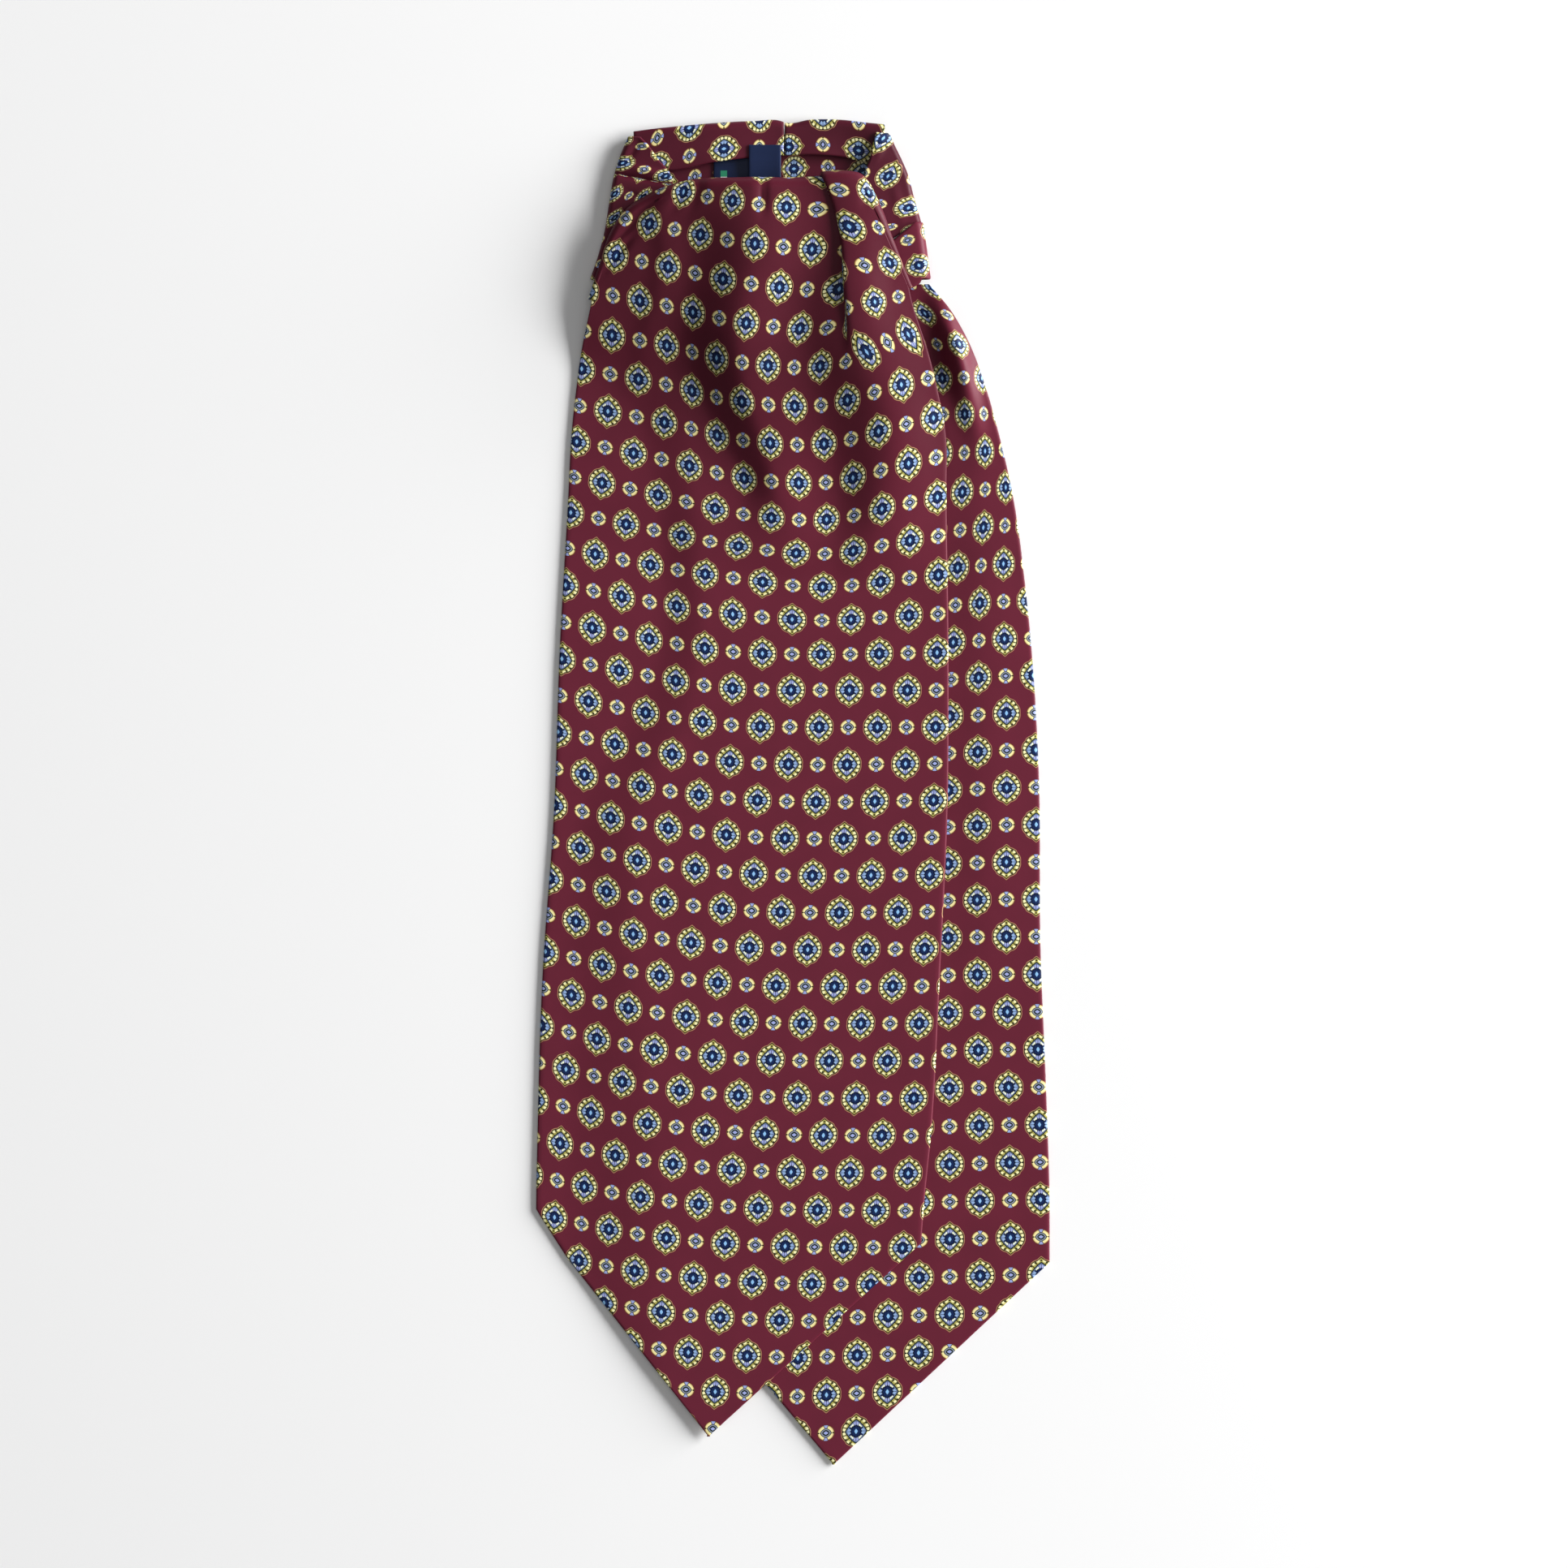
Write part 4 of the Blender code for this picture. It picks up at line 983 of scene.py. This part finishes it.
class Value:
    """A number that varies over the cloth. Arithmetic on it adds nodes to its material."""

    def __init__(self, tree, socket):
        self.tree = tree
        self.socket = socket

    def node(self, operation, *others, clamp=False):
        """The result of one of Blender's operations on this value and others."""
        node = self.tree.nodes.new("ShaderNodeMath")
        node.operation = operation
        node.use_clamp = clamp
        for entry, operand in zip(node.inputs, (self, *others)):
            if isinstance(operand, Value):
                self.tree.links.new(operand.socket, entry)
            else:
                entry.default_value = operand
        return Value(self.tree, node.outputs[0])

    __add__ = partialmethod(node, "ADD")
    __sub__ = partialmethod(node, "SUBTRACT")
    __mul__ = partialmethod(node, "MULTIPLY")
    __truediv__ = partialmethod(node, "DIVIDE")
    __pow__ = partialmethod(node, "POWER")
    __abs__ = partialmethod(node, "ABSOLUTE")

    def scaled(self, factor, plus):
        """This value times a factor, plus a number."""
        return self.node("MULTIPLY_ADD", factor, plus)

    def below(self, limit, soft=0.1):
        """1 where this value is below a limit and 0 above, with a soft change. A negative
        softness gives 1 above and 0 below."""
        return self.node("MULTIPLY_ADD", -1.0 / soft, limit / soft + 0.5, clamp=True)


def oval(across, along, shape):
    """Distance from an oval's middle, 1 on its outline; higher powers are squarer."""
    wide = (across / shape.half_width) ** shape.power
    long = (along / shape.half_length) ** shape.power
    return (wide + long) ** (1.0 / shape.power)


# ---- the two motifs
TAN_LINE = "B98C64"
DARK_LINE = "2C2016"
PETAL = "B0A958"
PETAL_MIDDLE = "F4F0B8"
PETAL_SHADE = "47441F"
SEED = "100E10"
FRAME_LINE = "14241E"
RIM = "8798C2"
STAR_GROUND = "14244C"
SIDE_STAR = "93B0DA"
UPRIGHT_STAR = "A0AADC"
CREAM = "E8EEDC"
ROSETTE = "102654"
ROSETTE_EDGE = "060E26"
HEART = "8FC0EC"
EYE_EDGE = "5A3C20"
EYE_RIM = "CC9A60"
CRESCENT = "F0E6A6"
LOOP = "8C93A4"
FAN = "9AA6DA"
# Sizes in millimetres, and places from the motif's middle.
MEDALLION = Oval(5.7, 6.9, 1.62)
MEDALLION_TIP = 6.75    # it narrows to a point above and below
TIP_SLOPE = 0.62
SCALLOPS = 5.0          # to half of its outline
SCALLOP_DEPTH, SCALLOP_LEAST = 0.05, 0.965
PETAL_MIDDLES = ((1.25, 4.95, 0.68), (2.95, 3.9, 0.68), (4.2, 2.2, 0.78), (4.45, 0.75, 0.68))
PETAL_GAPS = (0.35, 0.95, 2.3)      # slopes
SEEDS = ((0.0, 5.2, 0.34), (2.25, 4.25, 0.32), (3.7, 2.95, 0.3), (4.9, 0.0, 0.34))
STAR_FRAME = Oval(4.05, 4.5, 1.22)
CREAM_OVAL = Oval(0.72, 1.15, 2.0)
CREAM_PLACE = (1.55, 2.2)
ROSETTE_OVAL = Oval(2.0, 2.3, 2.0)
LOBES, LOBE_DEPTH = 8.0, 0.1
HEART_OVAL = Oval(0.62, 0.95, 1.25)
EYE_OVAL = Oval(3.3, 2.95, 2.0)
EYE_SEED = Oval(0.3, 0.3, 2.0)
EYE_SEED_PLACE = 2.85
LOOP_OVAL = Oval(2.2, 1.8, 1.55)
LOOP_HEART = Oval(0.95, 0.65, 1.1)


def larger(a, b):
    """The larger of two values."""
    return a.node("MAXIMUM", b)


def large_outline(x, y):
    """Distance from the middle of the large medallion, 1 on its scalloped and pointed outline."""
    angle = (y / MEDALLION_TIP).node("ARCTAN2", x / MEDALLION.half_width)
    scallop = abs((angle * SCALLOPS).node("SINE")).scaled(SCALLOP_DEPTH, SCALLOP_LEAST)
    return larger(oval(x, y, MEDALLION), (x * TIP_SLOPE + y) / MEDALLION_TIP) / scallop


def petal_layers(ax, ay, petals):
    """Layers inside the ring of petals: their pale middles, the gaps between them and seeds."""
    layers = []
    for middle_x, middle_y, size in PETAL_MIDDLES:
        middle = oval(abs(ax - middle_x), abs(ay - middle_y), Oval(size, size * 0.85, 2.0))
        layers.append((petals * middle.below(1.0, 0.5), PETAL_MIDDLE))
    for slope in PETAL_GAPS:
        gap = abs(ay - ax * slope).below(0.15 * (1.0 + slope), 0.2)
        layers.append((petals * gap, PETAL_SHADE))
    layers.append((petals * ay.below(0.14, 0.1), FRAME_LINE))
    for seed_x, seed_y, size in SEEDS:
        seed = oval(abs(ax - seed_x), abs(ay - seed_y), Oval(size, size, 2.0))
        layers.append((seed.below(1.0, 0.3), SEED))
    return layers


def star_layers(ax, ay):
    """Layers of the star in its frame: four points, the upright ones paler, and cream spots."""
    frame_oval = oval(ax, ay, STAR_FRAME)
    side_star = (ay - ax * 0.75).below(-0.8, 0.12) * ay.below(0.1, -0.08)
    upright_star = (ax - ay * 0.6).below(-0.85, 0.12) * ax.below(0.1, -0.08)
    inside = frame_oval.below(0.84, 0.03)
    beside, above = ax - CREAM_PLACE[0], ay - CREAM_PLACE[1]
    cream = oval(abs(beside + above), abs(beside - above), CREAM_OVAL)
    return [
        (frame_oval.below(1.04, 0.03), FRAME_LINE),
        (frame_oval.below(0.91, 0.03), RIM),
        (frame_oval.below(0.87, 0.03), STAR_GROUND),
        (inside * side_star, SIDE_STAR),
        (inside * upright_star, UPRIGHT_STAR),
        (inside * cream.below(1.0, 0.2), CREAM),
    ]


def large_motif(x, y):
    """Layers of the large medallion, from the bottom up, as masks and colours."""
    ax, ay = abs(x), abs(y)
    outline = large_outline(ax, ay)
    petals = outline.below(0.89, 0.03)
    angle = (ay / ROSETTE_OVAL.half_length).node("ARCTAN2", ax / ROSETTE_OVAL.half_width)
    lobes = (angle * LOBES).node("COSINE").scaled(LOBE_DEPTH, 1.0)
    rosette = oval(ax, ay, ROSETTE_OVAL) / lobes
    return [
        (outline.below(1.0, 0.03), TAN_LINE),
        (outline.below(0.96, 0.02), DARK_LINE),
        (petals, PETAL),
        *petal_layers(ax, ay, petals),
        *star_layers(ax, ay),
        (rosette.below(1.0, 0.06), ROSETTE_EDGE),
        (rosette.below(0.78, 0.2), ROSETTE),
        (oval(ax, ay, HEART_OVAL).below(1.0, 0.25), HEART),
    ]


def small_motif(x, y):
    """Layers of the small motif."""
    ax, ay = abs(x), abs(y)
    eye = oval(ax, ay, EYE_OVAL)
    loop = oval(ax, ay, LOOP_OVAL)
    fan = ax - ay * 0.55
    seed = oval(abs(ax - EYE_SEED_PLACE), ay, EYE_SEED)
    return [
        (eye.below(1.0, 0.05), EYE_EDGE),
        (eye.below(0.93, 0.05), EYE_RIM),
        (eye.below(0.86, 0.1), CRESCENT),
        (ay.below(0.12, 0.08) * eye.below(1.0, 0.06), EYE_EDGE),
        (seed.below(1.0, 0.3), SEED),
        (fan.below(-0.42, 0.1) * eye.below(1.0, 0.04), DARK_LINE),
        (fan.below(-0.7, 0.1) * eye.below(0.97, 0.04), FAN),
        (loop.below(1.0, 0.06), FRAME_LINE),
        (loop.below(0.85, 0.06), LOOP),
        (loop.below(0.64, 0.06), FRAME_LINE),
        (oval(ax, ay, LOOP_HEART).below(1.0, 0.15), UPRIGHT_STAR),
    ]


def colour_mix(tree, blend, share, under, over):
    """A colour socket: two colours mixed by a share, each a colour or a socket."""
    mix = tree.nodes.new("ShaderNodeMix")
    mix.data_type = "RGBA"
    mix.blend_type = blend
    tree.links.new(share.socket, mix.inputs[0])
    for entry, value in ((mix.inputs[MIX_UNDER], under), (mix.inputs[MIX_OVER], over)):
        if isinstance(value, tuple):
            entry.default_value = value
        else:
            tree.links.new(value, entry)
    return mix.outputs[MIX_RESULT]


def painted(tree, ground, layers, where=None):
    """A colour socket: the ground with each layer painted over it, only where asked."""
    socket = ground
    for mask, code in layers:
        if where is not None:
            mask = mask * where
        socket = colour_mix(tree, "MIX", mask, socket, colour(code))
    return socket


def empty_material(name):
    """A material with one shader, its node tree and that shader."""
    material = bpy.data.materials.new(name)
    material.use_nodes = True
    tree = material.node_tree
    return material, tree, tree.nodes["Principled BSDF"]


def set_inputs(node, values):
    """Give a node's inputs fixed values by name."""
    for name, value in values.items():
        node.inputs[name].default_value = value


def print_places(tree):
    """Lattice coordinates from the mesh."""
    source = tree.nodes.new("ShaderNodeUVMap")
    source.uv_map = "print"
    split = tree.nodes.new("ShaderNodeSeparateXYZ")
    tree.links.new(source.outputs[0], split.inputs[0])
    return Value(tree, split.outputs[0]), Value(tree, split.outputs[1])


def noise(tree, scale, detail):
    """A soft random value over the object."""
    place = tree.nodes.new("ShaderNodeTexCoord")
    node = tree.nodes.new("ShaderNodeTexNoise")
    set_inputs(node, {"Scale": scale, "Detail": detail})
    tree.links.new(place.outputs["Object"], node.inputs["Vector"])
    return Value(tree, node.outputs[0])


def finish_cloth(tree, shader, socket, weave, finish):
    """Give a cloth its colour, its weave as bump and its shine."""
    tree.links.new(socket, shader.inputs["Base Color"])
    bump = tree.nodes.new("ShaderNodeBump")
    set_inputs(bump, {"Strength": finish.bump, "Distance": finish.depth * MM})
    tree.links.new(weave.socket, bump.inputs["Height"])
    tree.links.new(bump.outputs[0], shader.inputs["Normal"])
    roughness = noise(tree, finish.grain, GRAIN_DETAIL).scaled(finish.uneven, finish.smoothest)
    tree.links.new(roughness.socket, shader.inputs["Roughness"])
    set_inputs(shader, {"Specular IOR Level": finish.shine, "Sheen Weight": finish.sheen})


# How a cloth takes the light: its weave's bump, in a share and in millimetres, how fine its
# unevenness is, how much roughness that adds to the least, its shine and its sheen.
Finish = namedtuple("Finish", "bump depth grain uneven smoothest shine sheen")
SILK_FINISH = Finish(0.18, 0.04, 900.0, 0.14, 0.36, 0.14, 0.05)
LABEL_FINISH = Finish(0.5, 0.03, 1500.0, 0.15, 0.3, 0.3, 0.04)
GRAIN_DETAIL = 2.0
SHEEN_ROUGHNESS = 0.35
SHEEN_TINT = "C080A8"
TWILL_ACROSS, TWILL_ALONG = 0.46, 0.8       # pitch of the twill's lines
MOTTLE_SCALE, MOTTLE_DETAIL = 60.0, 3.0
GROUND = ("6A2235", "5E1E2F")
SHADED_GROUND = ("581A2B", "4E1727")       # painted shade: a darker neckband ground, where the twill runs across the light
# Painted shade: the cloth is painted darker between two rows of the print, which may slope
# across its columns, over the knot and on the back band and right band: the ground there,
# and how much of all the colours is left.
PaintedShade = namedtuple("PaintedShade", "ground tone start end slope")
SHADE_OVER_KNOT = PaintedShade(("5E1B2D", "541828"), 0.86, 17.05, 21.05, 0.3)
SHADE_TO_RIGHT_FOLD = PaintedShade(("521828", "491524"), 0.86, 1.0, 4.0, 0.0)
SHADE_ON_RIGHT_BAND_TOP = PaintedShade(("521828", "491524"), 0.86, -1.5, 0.5, 0.0)


def mottled(tree, ground):
    """A colour socket that varies softly between the two tones of a ground."""
    return colour_mix(tree, "MIX", noise(tree, MOTTLE_SCALE, MOTTLE_DETAIL),
                      colour(ground[0]), colour(ground[1]))


def silk_colour(tree, across, along, ground, painted_shade):
    """A colour socket: the print on its ground, with painted shade past two rows where asked."""
    column_index = across.node("ROUND")
    row_index = along.node("ROUND")
    x = (across - column_index) * COLUMN_PITCH
    y = (along - row_index) * ROW_PITCH
    is_small = (column_index + row_index).node("FLOORED_MODULO", 2.0)
    socket = mottled(tree, ground)
    if painted_shade:
        # Painted shade: how far the darkening has gone, from none at the start row to full at the
        # end row.
        per_row = 1.0 / (painted_shade.end - painted_shade.start)
        depth = (along + across * painted_shade.slope).node(
            "MULTIPLY_ADD", per_row, -painted_shade.start * per_row, clamp=True)
        socket = colour_mix(tree, "MIX", depth, socket, mottled(tree, painted_shade.ground))
    socket = painted(tree, socket, large_motif(x, y), is_small.scaled(-1.0, 1.0))
    socket = painted(tree, socket, small_motif(x, y), is_small)
    # Painted shade dims the motifs as well as the ground.
    if painted_shade:
        socket = colour_mix(tree, "MULTIPLY", depth, socket, grey(painted_shade.tone))
    return socket


def silk_material(name, ground, painted_shade=None):
    """Printed silk twill with a soft sheen, and painted shade between two rows of its print where
    asked.
    """
    material, tree, shader = empty_material(name)
    across, along = print_places(tree)
    socket = silk_colour(tree, across, along, ground, painted_shade)
    warp = (across * (COLUMN_PITCH * 2 * pi / TWILL_ACROSS)
            + along * (ROW_PITCH * 2 * pi / TWILL_ALONG))
    finish_cloth(tree, shader, socket, warp.node("SINE"), SILK_FINISH)
    set_inputs(shader, {"Sheen Roughness": SHEEN_ROUGHNESS, "Sheen Tint": colour(SHEEN_TINT)})
    return material


LABEL_NAVY = "0D2048"
LABEL_NAVY_DARK = "081736"
FLAG_COLOURS = ("B03038", "F2F4F4", "2E8F6A")       # from the bottom up
FLAG = Patch(2.7, 5.2, 4.1, 11.3)       # from the label's lower left corner
WEFT_PITCH = 0.34
WARP_PITCH = 0.22
WEFT_TONE = (0.35, 0.55)
WARP_SHARE = 0.4
FLOOR_TONE = 0.94
FLOOR_ROUGHNESS = 0.8


def flag_layers(across, up, flag):
    """Layers of a small flag of three blocks, one above the other."""
    beside = abs(across - (flag.left + flag.right) / 2).below((flag.right - flag.left) / 2)
    stripe = (flag.top - flag.bottom) / len(FLAG_COLOURS)
    layers = []
    for index, code in enumerate(FLAG_COLOURS):
        middle = flag.bottom + stripe * (index + 0.5)
        layers.append((abs(up - middle).below(stripe / 2) * beside, code))
    return layers


def label_material(name, flag=None):
    """Woven navy satin label, with a small striped flag where one is asked for."""
    material, tree, shader = empty_material(name)
    across, up = print_places(tree)
    weft = (up * (2 * pi / WEFT_PITCH)).node("SINE")
    warp = (across * (2 * pi / WARP_PITCH)).node("SINE")
    socket = colour_mix(tree, "MIX", weft.scaled(*WEFT_TONE),
                        colour(LABEL_NAVY_DARK), colour(LABEL_NAVY))
    if flag:
        socket = painted(tree, socket, flag_layers(across, up, flag))
    finish_cloth(tree, shader, socket, weft + warp * WARP_SHARE, LABEL_FINISH)
    return material


def floor_material():
    """Plain pale floor."""
    material, _, shader = empty_material("pale_floor")
    set_inputs(shader, {"Base Color": grey(FLOOR_TONE), "Roughness": FLOOR_ROUGHNESS})
    return material


# ---- camera, light and floor
VIEW_WIDTH = 605.95     # width of the floor in the frame
VIEW_CENTRE = (-3.61, 3.45)
CAMERA_LENS = 150.0
SENSOR = 36.0
CLIP_START, CLIP_END = 0.1, 20.0
Light = namedtuple("Light", "turn rise distance size power")
LIGHTS = {
    "key": Light(15.0, 17.0, 5.0, (4.0, 2.6), 740.0),
    "overhead": Light(90.0, 85.0, 3.4, (2.5, 2.5), 11.0),
}
FLOOR_SIZE = 12.0
FLOOR_GAP = 0.1         # below the cravat, in millimetres
SURROUND = 0.18


def add_camera():
    """Camera straight above the cravat, with a long lens."""
    data = bpy.data.cameras.new("camera")
    data.lens = CAMERA_LENS
    data.sensor_width = SENSOR
    data.clip_start = CLIP_START
    data.clip_end = CLIP_END
    camera = bpy.data.objects.new("camera", data)
    distance = VIEW_WIDTH * CAMERA_LENS / SENSOR
    camera.location = (VIEW_CENTRE[0] * MM, VIEW_CENTRE[1] * MM, distance * MM)
    bpy.context.scene.collection.objects.link(camera)
    bpy.context.scene.camera = camera


def add_light(name, light):
    """A soft light aimed at the origin, from a turn about it and a rise off the table."""
    data = bpy.data.lights.new(name, "AREA")
    data.shape = "RECTANGLE"
    data.size, data.size_y = light.size
    data.energy = light.power
    lamp = bpy.data.objects.new(name, data)
    turn, rise = radians(light.turn), radians(light.rise)
    lamp.location = (light.distance * cos(rise) * cos(turn),
                     light.distance * cos(rise) * sin(turn), light.distance * sin(rise))
    lamp.rotation_euler = (-lamp.location).to_track_quat("-Z", "Y").to_euler()
    bpy.context.scene.collection.objects.link(lamp)


def add_studio():
    """Pale floor, soft lights and a pale surround."""
    bpy.ops.mesh.primitive_plane_add(size=FLOOR_SIZE, location=(0.0, 0.0, -FLOOR_GAP * MM))
    floor = bpy.context.object
    floor.name = "floor"
    floor.data.materials.append(floor_material())
    for name, light in LIGHTS.items():
        add_light(name, light)
    world = bpy.data.worlds.new("surround")
    world.use_nodes = True
    set_inputs(world.node_tree.nodes["Background"], {"Color": grey(1.0), "Strength": SURROUND})
    bpy.context.scene.world = world
    bpy.context.scene.view_settings.view_transform = "Standard"


def declare(piece, node):
    """Attach a piece of cloth to its body and hide the node it stands for."""
    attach(piece, "root")
    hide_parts(node)


def add_silk(node, surface, lattice, material):
    """One stretch of the strand."""
    declare(add_shell(f"{node}_silk", surface, lattice, SILK, material), node)


def add_label(node, surface, patch, material):
    """One woven label."""
    lattice = label_print(surface.plan, patch)
    declare(add_shell(f"{node}_cloth", surface, lattice, LABEL, material), node)


def add_strand():
    """Every stretch of the printed strand."""
    silk = silk_material("printed_silk", GROUND)
    # Painted shade: the front, back and right silks are darkened over parts of their print, and the
    # shaded silk is a darker copy of the silk.
    front_silk = silk_material("front_silk", GROUND, SHADE_OVER_KNOT)
    shaded_silk = silk_material("shaded_silk", SHADED_GROUND)
    back_silk = silk_material("back_silk", SHADED_GROUND, SHADE_TO_RIGHT_FOLD)
    right_silk = silk_material("right_silk", SHADED_GROUND, SHADE_ON_RIGHT_BAND_TOP)
    front = front_surface()
    rear = rear_surface()
    wrap = creased(wrap_surface(), ON_SIDE_BANDS, WRAP_DENTS)
    left = creased(side_band_surface(LEFT_BAND, LEFT_BAND_INNER, LEFT_BAND_FOLD),
                   LEFT_BAND_FOLD, LEFT_BAND_DENTS)
    right = creased(side_band_surface(RIGHT_BAND, RIGHT_BAND_INNER, RIGHT_BAND_FOLD),
                    RIGHT_BAND_INNER, RIGHT_BAND_DENTS)
    flap_left = flap_surface(BACK_FLAP[0].across, CENTRE_BACK_SEAM - SEAM_GAP / 2)
    flap_right = flap_surface(CENTRE_BACK_SEAM + SEAM_GAP / 2, BACK_FLAP[-1].across)
    lower = lower_flap_surface()
    lower_print = back_print(lower.plan, LOWER_FLAP_DROP, LOWER_FLAP_SHIFT)
    add_silk("rear_blade", rear, rear_print(rear.plan), silk)
    add_silk("back_band_lower", lower, lower_print, shaded_silk)
    add_silk("back_band_left", flap_left, back_print(flap_left.plan), back_silk)
    add_silk("back_band_right", flap_right, back_print(flap_right.plan), back_silk)
    add_silk("left_band", left, left_print(left.plan), shaded_silk)
    add_silk("right_band", right, right_print(right.plan), right_silk)
    add_silk("wrap_band", wrap, stretch_print(wrap.plan, WRAP_STRETCH), silk)
    add_silk("front_blade", front, front_print(front.plan), front_silk)
    declare(add_knot_layers(silk), "knot_layers")


def add_labels():
    """The two labels of the neckband, bare but for a small flag."""
    add_label("brand_label", brand_label_surface(), BRAND_LABEL, label_material("label_weave"))
    add_label("care_label", care_label_surface(), CARE_LABEL,
              label_material("small_label_weave", FLAG))


def build():
    """All pieces and the studio."""
    add_camera()
    add_strand()
    add_labels()
    add_studio()


build()
